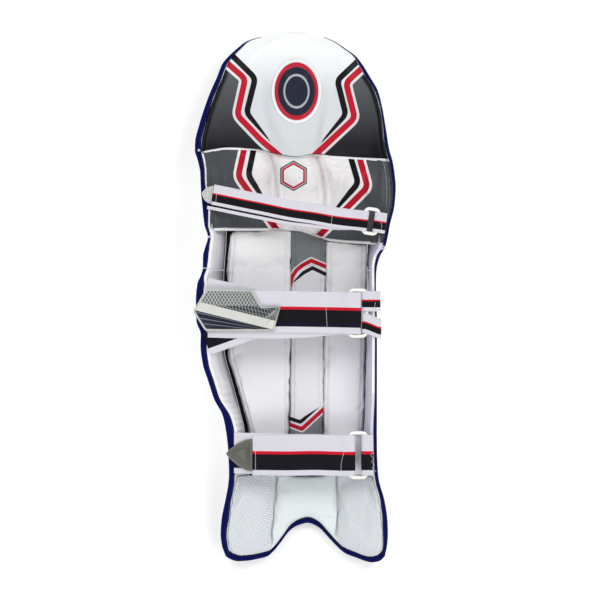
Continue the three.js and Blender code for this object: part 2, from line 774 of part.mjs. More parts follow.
function badge() {
  const turns = 20;
  const radii = [1, 0.86, 0.8, 0.4];
  const place = (radius, angle, lift) => {
    const x = BADGE_X * PAD_WIDTH + (BADGE_WIDTH / 2) * radius * Math.cos(angle);
    const y = yAt(BADGE_AT) + (BADGE_HEIGHT / 2) * radius * Math.sin(angle);
    return new THREE.Vector3(x, y, hatTop(x, y / PAD_LENGTH + 0.5) + lift);
  };
  const lifts = [BADGE_THICKNESS * 0.6, BADGE_THICKNESS, BADGE_THICKNESS * 0.7, BADGE_THICKNESS * 0.75];
  const points = [];
  const faces = [];
  const bottoms = radii.map(() => SEAT_GAP * 1.5);
  const layers = [...radii.map((r, i) => [r, lifts[i]]), ...radii.map((r, i) => [r, bottoms[i]])];
  for (const [radius, lift] of layers) {
    for (let i = 0; i < turns; i += 1) {
      points.push(place(radius, (2 * Math.PI * i) / turns, lift));
    }
  }
  const top = points.push(place(0, 0, lifts[3])) - 1;
  const bottom = points.push(place(0, 0, bottoms[3])) - 1;
  const id = (layer, i) => layer * turns + (i % turns);
  const rings = radii.length;
  for (let i = 0; i < turns; i += 1) {
    for (let k = 0; k < rings - 1; k += 1) {
      faces.push([id(k, i), id(k, i + 1), id(k + 1, i + 1)], [id(k, i), id(k + 1, i + 1), id(k + 1, i)]);
      const b = k + rings;
      faces.push([id(b, i + 1), id(b, i), id(b + 1, i + 1)], [id(b + 1, i + 1), id(b, i), id(b + 1, i)]);
    }
    faces.push([id(rings - 1, i), id(rings - 1, i + 1), top]);
    faces.push([id(2 * rings - 1, i + 1), id(2 * rings - 1, i), bottom]);
    faces.push([id(rings, i), id(rings, i + 1), id(0, i + 1)], [id(rings, i), id(0, i + 1), id(0, i)]);
  }
  return bufferOf(points, faces);
}

// Knee cushion: one padded band with three lobes that hangs between the wings
const BOWL_POWER = 3.2;
const KNEE_ROLL_OFF = 0.55;

function kneeSeat(x, at) {
  const spine = spineX(at);
  const side = x < spine ? LEFT : RIGHT;
  const swing = clamp((x - spine) / (kneeEnd(side, at) - spine), 0, 1);
  const bottom = frontZ(at) + SHELL_THICKNESS;
  const bowl = mix(bottom, rimZ(at), swing ** BOWL_POWER);
  const floor = bottom + curl(reachOf(x, at).reach);
  const wall = reachOf(x, at).reach > 1 ? wingInnerZ(side, x, at) : floor;
  return Math.max(bowl, floor, wall) + 1.5 * SEAT_GAP;
}

function kneeCushion() {
  const [first, second] = KNEE_GROOVES;
  const across = [
    0, 0.03, 0.08, 0.15, 0.24, 0.32, 0.355, first, 0.39, 0.43, 0.5,
    0.57, 0.605, second, 0.64, 0.7, 0.78, 0.86, 0.93, 0.97, 1,
  ];
  const along = [0, 0.06, 0.2, 0.4, 0.6, 0.8, 0.94, 1];
  const lobes = (u) => {
    const groove = KNEE_GROOVES.reduce((sum, g) => sum + Math.exp(-(((u - g) / GROOVE_WIDTH) ** 2)), 0);
    return 1 - GROOVE_DEPTH * groove;
  };
  const thickness = (u, v) => {
    const ends = 1 - Math.abs(2 * u - 1) ** 5;
    const crown = mix(KNEE_ROLL_OFF, 1, Math.min(1, 4 * KNEE_ROLL_OFF * Math.sin(Math.PI * v)));
    return KNEE_EDGE + KNEE_CUSHION * ends * crown * lobes(u);
  };
  const place = (lift) => (u, v) => {
    const low = column(KNEE_EDGES, "across", "low", u);
    const high = column(KNEE_EDGES, "across", "top", u);
    const at = mix(low, high, v);
    const x = mix(kneeEnd(LEFT, at), kneeEnd(RIGHT, at), u);
    return new THREE.Vector3(x, yAt(at), kneeSeat(x, at) + lift(u, v));
  };
  return slab(across, along, place(() => 0), place(thickness));
}

// Long cushions on the shin: left bolster, strip, right bolster
const BOLSTER_ROWS = [0, 0.04, 0.12, 0.25, 0.4, 0.52, 0.62, 0.72, 0.82, 0.92, 0.97, 1];

function shinCushion(leftOf, rightOf, crown, edge) {
  const rounding = (u, v) => {
    const across = (1 - Math.abs(2 * u - 1) ** 3) ** 0.5;
    const ends = (1 - Math.abs(2 * v - 1) ** 14) ** 0.5;
    return mix(edge, crown, across * ends);
  };
  const place = (lift) => (u, v) => {
    const low = INSTEP_TOP + SEAM_GAP / PAD_LENGTH;
    const guess = mix(leftOf(0.6), rightOf(0.6), u);
    const high = kneeEdge("low", guess) - (SEAM_GAP * 2) / PAD_LENGTH;
    const at = mix(low, high, v);
    const x = mix(leftOf(at), rightOf(at), u);
    return new THREE.Vector3(x, yAt(at), innerZ(x, at) + SEAT_GAP + lift(u, v));
  };
  const across = [0, 0.06, 0.2, 0.4, 0.6, 0.8, 0.94, 1];
  return slab(across, BOLSTER_ROWS, place(() => 0), place(rounding));
}

const BOLSTER_INSET = 0.010;
const stripEdge = (side) => (at) => column(STRIP, "at", sideName(side), at) * PAD_WIDTH;
const bolsterOuter = (side) => (at) => footX(side, at) - side * BOLSTER_INSET * PAD_WIDTH;

// Instep cushions: mesh pad, plain tongue, mesh pad
function instepCushion(from, to) {
  const rise = (share, v) => {
    const across = (1 - Math.abs(2 * share - 1) ** 4) ** 0.5;
    const along = (1 - Math.abs(2 * v - 1) ** 8) ** 0.5;
    return mix(RIM_LINING, INSTEP_CUSHION, across * along);
  };
  const columns = INSTEP_COLUMNS.filter((u) => u > from(0) + 0.02 && u < to(0) - 0.02);
  const shares = [0, ...columns.map((u) => (u - from(0)) / (to(0) - from(0))), 1];
  const place = (lift) => (share, v) => {
    const u = mix(from(v), to(v), share);
    const seat = (x, at) => Math.min(innerZ(x, at), rimZ(at) - RIM_LINING) + SEAT_GAP + lift(share, v);
    return instepPoint(u, v, seat);
  };
  return slab(shares, INSTEP_STEPS, place(() => 0), place((share, v) => rise(share, v) - SEAT_GAP));
}

const tongueSeam = (side) => (v) => (side === LEFT ? mix(0.300, 0.285, v) : mix(0.730, 0.697, v));
const seamShare = SEAM_GAP / PAD_WIDTH;

// Straps

// A strap lies in its own plane: s runs along it from the guard's middle line, turned by an
// angle, and across its width. lean is the rise for each millimetre across, as the rims rise.
class StrapPlane {
  constructor({ at, degrees = 0, lean = 0 }) {
    this.y = yAt(at);
    this.angle = THREE.MathUtils.degToRad(degrees);
    this.lean = lean;
  }

  point(s, across, z) {
    const cos = Math.cos(this.angle);
    const sin = Math.sin(this.angle);
    const x = s * cos - across * sin;
    const y = this.y + s * sin + across * cos;
    return new THREE.Vector3(x, y, z + this.lean * across);
  }

  // Distance along the strap of a place across the guard, given as a share of its width
  along(share) {
    return (share * PAD_WIDTH) / Math.cos(this.angle);
  }
}

// Flat webbing. path: stations with s and z, and optionally a shift across.
function ribbon(plane, path, width) {
  const skin = WEBBING / 2;
  const half = width / 2;
  const corners = [[-half, -skin], [half, -skin], [half, skin], [-half, skin]];
  const rings = path.map((station, i) => {
    const before = path[Math.max(i - 1, 0)];
    const after = path[Math.min(i + 1, path.length - 1)];
    const run = new THREE.Vector2(after.s - before.s, after.z - before.z).normalize();
    const shift = station.shift ?? 0;
    return corners.map(([across, out]) =>
      plane.point(station.s - run.y * out, shift + across, station.z + run.x * out),
    );
  });
  return loft(rings, false);
}

const FOLD_RADIUS = RING_RAIL / 2 + RAIL_GAP + WEBBING / 2;
const LAYER_PITCH = WEBBING + LAYER_GAP;
const STRAP_LEAD = 13;
const LOOP_LEAD = 6;
const RING_LIFT = 1.5;

// Under a rail, half a turn round it and back over it. side is where the fold points.
function foldStations(rail, fold, z, side) {
  const turns = [-90, -54, -18, 18, 54, 90].map((turn) => {
    const angle = THREE.MathUtils.degToRad(turn);
    return { s: fold + side * FOLD_RADIUS * Math.cos(angle), z: z + FOLD_RADIUS * Math.sin(angle) };
  });
  const near = rail - side * (RING_RAIL / 2);
  return [{ s: near, z: z - FOLD_RADIUS }, ...turns, { s: near, z: z + FOLD_RADIUS }];
}

// Webbing that runs from its seat to the ring, turns round the rail and comes back on top.
// start and finish: where its two ends lie. seat and ring: middle heights of the lower layer
// at its start and of the ring.
function foldedStrap(plane, { start, finish, rail, fold, seat, ringZ, side, width, lead, slip = 0 }) {
  const steps = 5;
  const turn = rail - side * lead;
  const height = (s) => mix(seat, ringZ - LAYER_PITCH / 2, (s - start) / (turn - start));
  const under = evenly(steps).map((t) => {
    const s = mix(start, turn, t);
    return { s, z: height(s), shift: slip * (1 - t) };
  });
  const over = evenly(steps).map((t) => {
    const s = mix(turn, finish, t);
    return { s, z: height(s) + LAYER_PITCH };
  });
  return ribbon(plane, [...under, ...foldStations(rail, fold, ringZ, side), ...over], width);
}

// Rounded ring with two straight rails along the strap's width
function ring(plane, { left, right, z, width }) {
  const halfLength = width / 2 + RING_CLEARANCE + RING_RAIL / 2;
  const halfWidth = (right - left) / 2;
  const middle = (left + right) / 2;
  const corner = Math.min(RING_CORNER, halfWidth);
  const corners = [
    { x: halfWidth - corner, y: halfLength - corner, from: 0 },
    { x: corner - halfWidth, y: halfLength - corner, from: 90 },
    { x: corner - halfWidth, y: corner - halfLength, from: 180 },
    { x: halfWidth - corner, y: corner - halfLength, from: 270 },
  ];
  const sides = 8;
  const rings = corners.flatMap(({ x, y, from }) =>
    [0, 30, 60, 90].map((turn) => {
      const angle = THREE.MathUtils.degToRad(from + turn);
      return Array.from({ length: sides }, (_, k) => {
        const round = (2 * Math.PI * k) / sides;
        const reach = corner + (RING_RAIL / 2) * Math.cos(round);
        const lift = (RING_RAIL / 2) * Math.sin(round);
        return plane.point(middle + x + Math.cos(angle) * reach, y + Math.sin(angle) * reach, z + lift);
      });
    }),
  );
  return loft(rings, true);
}

// Moulded plate over a drawn outline, from the height z up
function plate(plane, outline, z, thickness) {
  const rim = (lift) => outline.map(({ s, across }) => plane.point(s, across, z + lift));
  return loft([rim(0), rim(thickness)], false);
}

// Highest point of a seat under the end of a strap, at three places across its width.
// It is measured from the strap's leaning plane, so it is the height at the strap's middle.
function seatUnder(plane, share, width, heightAt) {
  const tries = [-0.5, 0, 0.5].map((part) => {
    const place = plane.point(plane.along(share), part * width, 0);
    return heightAt(place.x, place.y / PAD_LENGTH + 0.5) - place.z;
  });
  return Math.max(...tries) + SEAT_GAP + WEBBING / 2;
}

// Outline of the tip at the free end of a strap: a short pointed tab.
// along: share of the tip's length from its point. across: share of the strap's width.
const TOP_TIP = [
  { along: 0, across: 0 },
  { along: 0.35, across: 0.28 },
  { along: 1, across: 0.46 },
  { along: 1, across: -0.46 },
  { along: 0.4, across: -0.34 },
];
const BOTTOM_TIP = [
  { along: 0, across: 0.037 },
  { along: 0.2, across: 0.17 },
  { along: 0.46, across: 0.29 },
  { along: 0.76, across: 0.38 },
  { along: 1, across: 0.4 },
  { along: 1, across: -0.4 },
  { along: 0.76, across: -0.37 },
  { along: 0.46, across: -0.26 },
  { along: 0.2, across: -0.11 },
];
// Pull tab of the middle strap. at: place across the guard, as a share of its width.
const PULL_TAB = [
  { at: -0.500, across: 0.017 },
  { at: -0.435, across: 0.548 },
  { at: -0.207, across: 0.527 },
  { at: -0.162, across: 0.134 },
  { at: -0.066, across: 0.143 },
  { at: -0.101, across: -0.452 },
  { at: -0.439, across: -0.452 },
];

function tipOutline(rows, point, end, width) {
  return rows.map(({ along, across }) => ({ s: mix(point, end, along), across: across * width }));
}

const RUN = { side: RIGHT, lead: STRAP_LEAD };
const SHORT_RUN = { side: LEFT, lead: LOOP_LEAD };

// Where each strap lies. at: station of its middle line. Places across are shares of the width.
// slip: how far the lower layer's end has slid sideways, as a share of the strap's width.
const TOP_STRAP = {
  name: "top", at: 0.6674, degrees: -8.6, lean: -0.12, slip: -0.107,
  start: -0.422, finish: -0.404, tip: -0.4595,
  railLeft: 0.3423, railRight: 0.4115, fold: 0.3463, loopFold: 0.4066, loopEnd: 0.4500,
};
const MIDDLE_STRAP = {
  at: 0.4724, slip: -0.052, start: -0.289, finish: -0.385,
  railLeft: 0.2707, railRight: 0.3552, fold: 0.3067, loopFold: 0.3482,
};
// The arms leave from beside the strap: across is a share of the strap's width.
const MIDDLE_ARMS = [
  { name: "middle_strap_arm_upper", start: -0.432, end: -0.196, across: 0.452, degrees: -14 },
  { name: "middle_strap_arm_lower", start: -0.432, end: -0.196, across: -0.522, degrees: 18 },
];
const MIDDLE_LOOPS = [
  { name: "middle_ring_loop_upper", side: RIGHT, slip: 0 },
  { name: "middle_ring_loop_lower", side: LEFT, slip: -0.32 },
];
const LOOP_DROP = 26;
const LOOP_BEND = 4;
const OVER_RIM = 0.8;
const BOTTOM_STRAP = {
  name: "bottom", at: 0.2037, lean: 0.232, slip: 0.054,
  start: -0.2980, finish: -0.2059, tip: -0.3408,
  railLeft: 0.2731, railRight: 0.3557, fold: 0.2840, loopFold: 0.3462, loopEnd: 0.3960,
};

// The two layers of a strap, or of the short loop that holds its ring
function strapRun(plane, strap, common) {
  const place = (name) => plane.along(strap[name]);
  const ends = { start: place("start"), finish: place("finish"), slip: strap.slip * common.width };
  return { ...RUN, ...ends, rail: place("railLeft"), fold: place("fold"), ...common };
}

function loopRun(plane, strap, common) {
  const place = (name) => plane.along(strap[name]);
  const ends = { start: place("loopEnd"), finish: place("loopEnd") };
  return { ...SHORT_RUN, ...ends, rail: place("railRight"), fold: place("loopFold"), ...common };
}

function rails(plane, strap) {
  return { left: plane.along(strap.railLeft), right: plane.along(strap.railRight) };
}

// A strap that turns back through its ring, the loop that holds the ring and the moulded tip
function ringStrap(strap, width, seatHeight, tipRows) {
  const plane = new StrapPlane(strap);
  const seatLeft = seatUnder(plane, strap.start, width, seatHeight);
  const seatRight = seatUnder(plane, strap.loopEnd, width, seatHeight);
  const ringZ = Math.max(seatLeft, seatRight) + LAYER_PITCH / 2 + RING_LIFT;
  const long = foldedStrap(plane, strapRun(plane, strap, { seat: seatLeft, ringZ, width }));
  const short = foldedStrap(plane, loopRun(plane, strap, { seat: seatRight, ringZ, width }));
  add(`${strap.name}_strap`, long, STRIPED_WEBBING);
  add(`${strap.name}_ring_loop`, short, STRIPED_WEBBING);
  add(`${strap.name}_ring`, ring(plane, { ...rails(plane, strap), z: ringZ, width }), RING_PLASTIC);
  const end = plane.along(strap.finish) - SEAT_GAP;
  const outline = tipOutline(tipRows, plane.along(strap.tip), end, width);
  const tipZ = seatLeft + LAYER_PITCH - WEBBING / 2;
  add(`${strap.name}_strap_tip`, plate(plane, outline, tipZ, TIP_THICKNESS), TIP_RUBBER);
}

// The middle strap forks into two arms on the left and is held by two loops on the right,
// which go over the rim and down its outside
function middleStrap() {
  const plane = new StrapPlane(MIDDLE_STRAP);
  const width = MIDDLE_STRAP_WIDTH;
  const armZ = rimZ(MIDDLE_STRAP.at) + SEAT_GAP + WEBBING / 2;
  for (const arm of MIDDLE_ARMS) {
    const armAt = MIDDLE_STRAP.at + (arm.across * width) / PAD_LENGTH;
    const own = new StrapPlane({ at: armAt, degrees: arm.degrees });
    const away = own.point(own.along(arm.start), 0, 0).y - own.y;
    own.y -= away;
    const path = evenly(3).map((t) => ({ s: mix(own.along(arm.start), own.along(arm.end), t), z: armZ }));
    add(arm.name, ribbon(own, path, ARM_WIDTH), PLAIN_WEBBING);
  }
  const seat = armZ + LAYER_PITCH;
  const ringZ = armZ + LAYER_PITCH / 2 + RING_LIFT;
  const strap = foldedStrap(plane, strapRun(plane, MIDDLE_STRAP, { seat, ringZ, width }));
  add("middle_strap", strap, STRIPED_WEBBING);
  const loopWidth = (width - LOOP_GAP) / 2;
  for (const loop of MIDDLE_LOOPS) {
    const across = (loop.side * (loopWidth + LOOP_GAP)) / 2;
    const own = new StrapPlane({ at: MIDDLE_STRAP.at + across / PAD_LENGTH });
    add(loop.name, rimLoop(own, ringZ, armZ + SEAT_GAP, loop.slip * loopWidth, loopWidth), STRIPED_WEBBING);
  }
  add("middle_ring", ring(plane, { ...rails(plane, MIDDLE_STRAP), z: ringZ, width }), RING_PLASTIC);
  const outline = PULL_TAB.map(({ at, across }) => ({ s: plane.along(at), across: across * width }));
  const tabZ = seat + LAYER_PITCH + WEBBING / 2 + SEAT_GAP;
  add("pull_tab", plate(plane, outline, tabZ, TAB_THICKNESS), TIP_RUBBER);
}

// A loop of webbing from the ring over the right rim, both layers turned down outside it
function rimLoop(plane, ringZ, seat, slip, width) {
  const rail = plane.along(MIDDLE_STRAP.railRight);
  const fold = plane.along(MIDDLE_STRAP.loopFold);
  const at = plane.y / PAD_LENGTH + 0.5;
  const wall = edgeX(RIGHT, at) + SEAT_GAP + WEBBING / 2 + OVER_RIM;
  const corner = LOOP_BEND * (1 - Math.SQRT1_2);
  const over = (lift) => [
    { s: wall + lift, z: seat - LOOP_DROP },
    { s: wall + lift, z: seat - LOOP_BEND },
    { s: wall + lift - corner, z: seat + lift - corner },
    { s: wall - LOOP_BEND, z: seat + lift },
  ];
  const turn = rail + LOOP_LEAD;
  const lower = [...over(0), { s: turn, z: ringZ - LAYER_PITCH / 2 }];
  const upper = [{ s: turn, z: ringZ + LAYER_PITCH / 2 }, ...over(LAYER_PITCH).reverse()];
  const slide = (s) => slip * clamp((s - turn) / (wall - turn), 0, 1);
  const shifted = (path) => path.map((station) => ({ ...station, shift: slide(station.s) }));
  const path = [...shifted(lower), ...foldStations(rail, fold, ringZ, LEFT), ...shifted(upper)];
  return ribbon(plane, path, width);
}

function build() {
  add("top_hat", topHat(), WHITE_LEATHER);
  add("shin_face", shinFace(), WHITE_LEATHER);
  for (const roll of KNEE_ROLLS) {
    add(roll.name, kneeRoll(roll), WHITE_LEATHER);
  }
  add("wing_left_upper", wing(LEFT, WING_SPLIT, HAT_LOW), WHITE_MESH);
  add("wing_left_lower", wing(LEFT, INSTEP_TOP, WING_SPLIT), WHITE_MESH);
  add("wing_right_upper", wing(RIGHT, WING_SPLIT, HAT_LOW), WHITE_MESH);
  add("wing_right_lower", wing(RIGHT, INSTEP_TOP, WING_SPLIT), WHITE_MESH);
  add("instep_flare", instepFlare(), WHITE_LEATHER);
  add("edge_binding", edgeBinding(), NAVY_BINDING);
  add("hat_lining", hatLining(), WHITE_LEATHER);
  add("badge", badge(), BADGE_RUBBER);
  add("knee_cushion", kneeCushion(), GREY_PANEL);
  const crown = BOLSTER_THICKNESS;
  const stripLeft = stripEdge(LEFT);
  const stripRight = stripEdge(RIGHT);
  const beside = (edge, side) => (at) => edge(at) + side * SEAM_GAP;
  const leftBolster = shinCushion(bolsterOuter(LEFT), beside(stripLeft, LEFT), crown, BOLSTER_EDGE);
  const rightBolster = shinCushion(beside(stripRight, RIGHT), bolsterOuter(RIGHT), crown, BOLSTER_EDGE);
  add("shin_bolster_left", leftBolster, WHITE_MESH);
  add("shin_strip", shinCushion(stripLeft, stripRight, crown, STRIP_EDGE), WHITE_LEATHER);
  add("shin_bolster_right", rightBolster, WHITE_MESH);
  const padLeft = instepCushion(() => 0, (v) => tongueSeam(LEFT)(v) - seamShare);
  const padRight = instepCushion((v) => tongueSeam(RIGHT)(v) + seamShare, () => 1);
  add("instep_pad_left", padLeft, WHITE_MESH);
  add("instep_tongue", instepCushion(tongueSeam(LEFT), tongueSeam(RIGHT)), WHITE_LEATHER);
  add("instep_pad_right", padRight, WHITE_MESH);
  ringStrap(TOP_STRAP, TOP_STRAP_WIDTH, (x, at) => kneeSeat(x, at) + KNEE_EDGE, TOP_TIP);
  middleStrap();
  ringStrap(BOTTOM_STRAP, BOTTOM_STRAP_WIDTH, (x, at) => rimZ(at), BOTTOM_TIP);
}

build();

export default pad;
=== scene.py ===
# %% [markdown]
# # A cricket batting leg guard
#
# This guard is worn on the shin. It is a foam shell with soft cushions on the leg side, a
# domed flap over the thigh, a knee band with three lobes, and three straps that turn back
# through plastic rings. It lies on its front, so we look straight into the leg side.
#
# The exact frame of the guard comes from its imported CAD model. Each piece below takes the
# place of a CAD solid, and is made finer, softer and more detailed in the same place.

import json
import math

import bmesh
import bpy
import numpy as np
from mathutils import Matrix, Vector

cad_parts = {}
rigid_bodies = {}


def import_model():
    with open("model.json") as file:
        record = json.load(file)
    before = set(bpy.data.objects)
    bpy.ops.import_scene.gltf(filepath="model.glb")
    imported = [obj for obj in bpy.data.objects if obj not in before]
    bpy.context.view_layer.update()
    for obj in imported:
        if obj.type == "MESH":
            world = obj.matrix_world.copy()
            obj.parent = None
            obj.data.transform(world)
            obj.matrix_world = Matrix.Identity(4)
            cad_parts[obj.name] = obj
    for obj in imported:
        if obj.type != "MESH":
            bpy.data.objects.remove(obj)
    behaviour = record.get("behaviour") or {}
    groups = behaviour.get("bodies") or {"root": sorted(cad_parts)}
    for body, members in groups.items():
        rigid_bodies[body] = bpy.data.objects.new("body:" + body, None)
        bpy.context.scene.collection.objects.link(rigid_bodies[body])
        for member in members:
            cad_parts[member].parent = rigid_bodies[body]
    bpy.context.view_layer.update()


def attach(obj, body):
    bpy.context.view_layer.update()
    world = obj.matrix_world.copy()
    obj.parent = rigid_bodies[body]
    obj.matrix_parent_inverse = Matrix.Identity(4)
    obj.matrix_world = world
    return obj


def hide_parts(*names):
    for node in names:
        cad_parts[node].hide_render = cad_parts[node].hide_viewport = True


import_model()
MM = 0.001
LEFT, RIGHT = -1, 1

# %% [markdown]
# ## Camera, floor and light
#
# The picture is taken from straight above with a long lens, so the guard shows almost no
# perspective. The light is that of a product photograph: four large soft lamps round the
# guard, none of them near its mirror angle, and a bright pale surround.

# %% Camera, floor and lamps
VIEW_WIDTH, VIEW_HEIGHT, FOCUS_LEVEL = 0.823, 12.0, 0.07
PICTURE_MIDDLE = (0.0076, -0.0037)
LAMP_SIZE, SURROUND_LIGHT = 1.6, 0.54
LAMPS = {
    "upper_left_softbox": ((-1.3, 1.6, 2.9), 25),
    "upper_right_softbox": ((1.6, 1.3, 2.9), 30),
    "lower_left_softbox": ((-1.1, -1.9, 2.8), 17),
    "lower_right_softbox": ((1.4, -1.8, 2.8), 24),
}


def place_camera():
    lens = bpy.data.cameras.new("overhead")
    lens.type = "PERSP"
    lens.angle = 2 * math.atan(VIEW_WIDTH / 2 / (VIEW_HEIGHT - FOCUS_LEVEL))
    lens.clip_end = 50
    camera = bpy.data.objects.new("overhead", lens)
    camera.location = (*PICTURE_MIDDLE, VIEW_HEIGHT)
    bpy.context.scene.collection.objects.link(camera)
    bpy.context.scene.camera = camera


def soft_lamp(name, place, power):
    lamp = bpy.data.lights.new(name, "AREA")
    lamp.shape = "DISK"
    lamp.size = LAMP_SIZE
    lamp.energy = power
    holder = bpy.data.objects.new(name, lamp)
    holder.location = place
    holder.rotation_euler = (-Vector(place)).to_track_quat("-Z", "Y").to_euler()
    bpy.context.scene.collection.objects.link(holder)


place_camera()
for name, (place, power) in LAMPS.items():
    soft_lamp(name, place, power)

surround = bpy.data.worlds.new("studio")
surround.use_nodes = True
glow = surround.node_tree.nodes["Background"].inputs
glow["Color"].default_value = (1.0, 1.0, 1.0, 1.0)
glow["Strength"].default_value = SURROUND_LIGHT
bpy.context.scene.world = surround
bpy.context.scene.view_settings.view_transform = "Standard"

# %% [markdown]
# ## A short notation for nodes
#
# Shader maths and geometry trees are easier to read as expressions than as lists of links.
# `Wire` stands for one output socket, and its operators add Math nodes. `Graph.node` adds any
# other node: first its settings, then its sockets.


# %% Wires and graphs
class Wire:
    def __init__(self, graph, socket):
        self.graph = graph
        self.socket = socket

    def __add__(self, other):
        return self.graph.maths("ADD", self, other)

    def __radd__(self, other):
        return self.graph.maths("ADD", other, self)

    def __sub__(self, other):
        return self.graph.maths("SUBTRACT", self, other)

    def __rsub__(self, other):
        return self.graph.maths("SUBTRACT", other, self)

    def __mul__(self, other):
        return self.graph.maths("MULTIPLY", self, other)

    def __rmul__(self, other):
        return self.graph.maths("MULTIPLY", other, self)

    def __truediv__(self, other):
        return self.graph.maths("DIVIDE", self, other)

    def __pow__(self, other):
        return self.graph.maths("POWER", self, other)

    def __abs__(self):
        return self.graph.maths("ABSOLUTE", self)


class Graph:
    def __init__(self, tree):
        self.tree = tree

    def plug(self, socket, value):
        if isinstance(value, Wire):
            self.tree.links.new(value.socket, socket)
        else:
            socket.default_value = value

    def node(self, kind, settings=None, sockets=None, out=0):
        made = self.tree.nodes.new(kind)
        for key, value in (settings or {}).items():
            if key == "stops":
                for stop, (place, colour) in zip(made.color_ramp.elements, value):
                    stop.position, stop.color = place, colour
            else:
                setattr(made, key, value)
        for key, value in (sockets or {}).items():
            self.plug(made.inputs[key], value)
        return Wire(self, made.outputs[out] if made.outputs else None)

    def maths(self, operation, *values, clamp=False):
        settings = {"operation": operation, "use_clamp": clamp}
        return self.node("ShaderNodeMath", settings, dict(enumerate(values)))


print("operators ready:", [n for n in dir(Wire) if n.startswith("__r") and "repr" not in n][:3])

# %% [markdown]
# ## Finishes
#
# A `Finish` is a material with the parts that every surface here needs: fine coordinates in
# millimetres, a soft threshold for printed shapes, colour mixing, and a bump from a height.
# Each surface then adds its own weave, grain or knit. Heights are in millimetres too.


# %% The finish class
def rgb(code):
    """Linear colour of a hex code."""
    parts = [int(code[i : i + 2], 16) / 255 for i in (0, 2, 4)]
    return tuple(p / 12.92 if p < 0.04045 else ((p + 0.055) / 1.055) ** 2.4 for p in parts) + (1.0,)


class Finish(Graph):
    def __init__(self, name, roughness=0.5, metallic=0.0, coat=0.0, sheen=0.0, gloss=0.25):
        self.material = bpy.data.materials.new(name)
        self.material.use_nodes = True
        super().__init__(self.material.node_tree)
        self.shader = self.tree.nodes["Principled BSDF"]
        fixed = {"Roughness": roughness, "Metallic": metallic, "Coat Weight": coat, "Sheen Weight": sheen}
        fixed["Specular IOR Level"] = gloss
        for socket, value in fixed.items():
            self.shader.inputs[socket].default_value = value
        self.shader.inputs["Coat Roughness"].default_value = 0.2

    def place(self):
        """x, y and z on the guard, in millimetres."""
        spot = self.node("ShaderNodeTexCoord", out="Object")
        split = self.node("ShaderNodeSeparateXYZ", {}, {0: spot})
        return [Wire(self, split.socket.node.outputs[i]) * 1000 for i in range(3)]

    def cloth_place(self):
        """Distances along and across the cloth, in millimetres, from the UV map."""
        spot = self.node("ShaderNodeUVMap", {"uv_map": "cloth"})
        split = self.node("ShaderNodeSeparateXYZ", {}, {0: spot})
        return [Wire(self, split.socket.node.outputs[i]) * 1000 for i in range(2)]

    def mark(self, name):
        return self.node("ShaderNodeAttribute", {"attribute_name": name}, out="Fac")

    def sine(self, value):
        return self.maths("SINE", value)

    def above(self, value, edge=0.0, soft=0.3):
        """1 where the value is above the edge, with a soft step."""
        return self.maths("ADD", (value - edge) / soft, 0.5, clamp=True)

    def between(self, value, low, high, soft=0.3):
        return self.above(value, low, soft) * (1 - self.above(value, high, soft))

    def noise(self, scale, detail=2.0, rough=0.5):
        spot = self.node("ShaderNodeTexCoord", out="Object")
        sockets = {"Vector": spot, "Scale": scale, "Detail": detail, "Roughness": rough}
        return self.node("ShaderNodeTexNoise", {}, sockets)

    def mix(self, share, first, second):
        sockets = {0: share, 6: first, 7: second}
        return self.node("ShaderNodeMix", {"data_type": "RGBA"}, sockets, out=2)

    def shade(self, colour, share):
        """The colour times a number."""
        settings = {"data_type": "RGBA", "blend_type": "MULTIPLY"}
        grey = self.node("ShaderNodeCombineXYZ", {}, {0: share, 1: share, 2: share})
        return self.node("ShaderNodeMix", settings, {0: 1.0, 6: colour, 7: grey}, out=2)

    def finish(self, colour, height=None, roughness=None):
        self.plug(self.shader.inputs["Base Color"], colour)
        if roughness is not None:
            self.plug(self.shader.inputs["Roughness"], roughness)
        if height is not None:
            bump = self.node("ShaderNodeBump", {}, {"Height": height, "Strength": 1.0, "Distance": MM})
            self.plug(self.shader.inputs["Normal"], bump)
        return self.material


RED, INK, NAVY = rgb("bb0b28"), rgb("08080f"), rgb("030e5a")
WHITE, PANEL_PAINTED_SHADE = rgb("f1f2f4"), rgb("18181e")
print("red in linear light:", [round(v, 3) for v in RED[:3]])

# %% [markdown]
# ## Leather, mesh and tape
#
# White coated leather has a very fine pebble grain and a soft shine. The cushions wear a
# knitted mesh: rows of tiny holes, each 2 mm from the next. Its tone runs from a darker to a
# lighter one along x, y or z: painted shade, darker deep in the guard where less light falls. The
# instep pads wear a spacer mesh with diagonal ridges. Handling leaves faint clouds on all of them.


# %% Plain finishes of the guard
def grain(f):
    return f.noise(900, 3.0, 0.6) * 0.06


def clouds(f, low=0.93, scale=9):
    return f.noise(scale, 4.0, 0.6) * (2 * (1 - low)) + (2 * low - 1 + (1 - low) * 0.6)


def white_leather(name="white_leather", colour=WHITE, roughness=0.36):
    f = Finish(name, roughness, coat=0.1)
    skin = f.shade(colour, clouds(f, 0.95))
    return f.finish(skin, grain(f) + f.noise(60, 3) * 0.25, roughness + f.noise(30, 3) * 0.12)


KNIT_PITCH, KNIT_DEPTH = 2.1, 0.3


def knitted_mesh(name, low, high, spans):
    """The tone runs from low to high: spans is (axis, where low ends, where high starts)."""
    f = Finish(name, 0.88)
    x, y, z = f.place()
    axis, start, end = spans
    # Painted light and shade: the ramp darkens the mesh deep down in the wings and lightens the bolsters
    # towards the knee.
    rise = f.maths("DIVIDE", (x, y, z)[axis] - start, end - start, clamp=True)
    colour = f.mix(rise, rgb(low), rgb(high))
    along = y * (math.pi / KNIT_PITCH)
    across = (x + z * 0.9) * (math.pi / KNIT_PITCH)
    rows = abs(f.sine(along + across)) * abs(f.sine(along - across))
    holes = f.above(rows, 0.62, 0.3)
    thread = f.shade(colour, (1 - holes * 0.16) * clouds(f, 0.97))
    return f.finish(thread, rows * -KNIT_DEPTH + f.noise(700, 2) * 0.1)


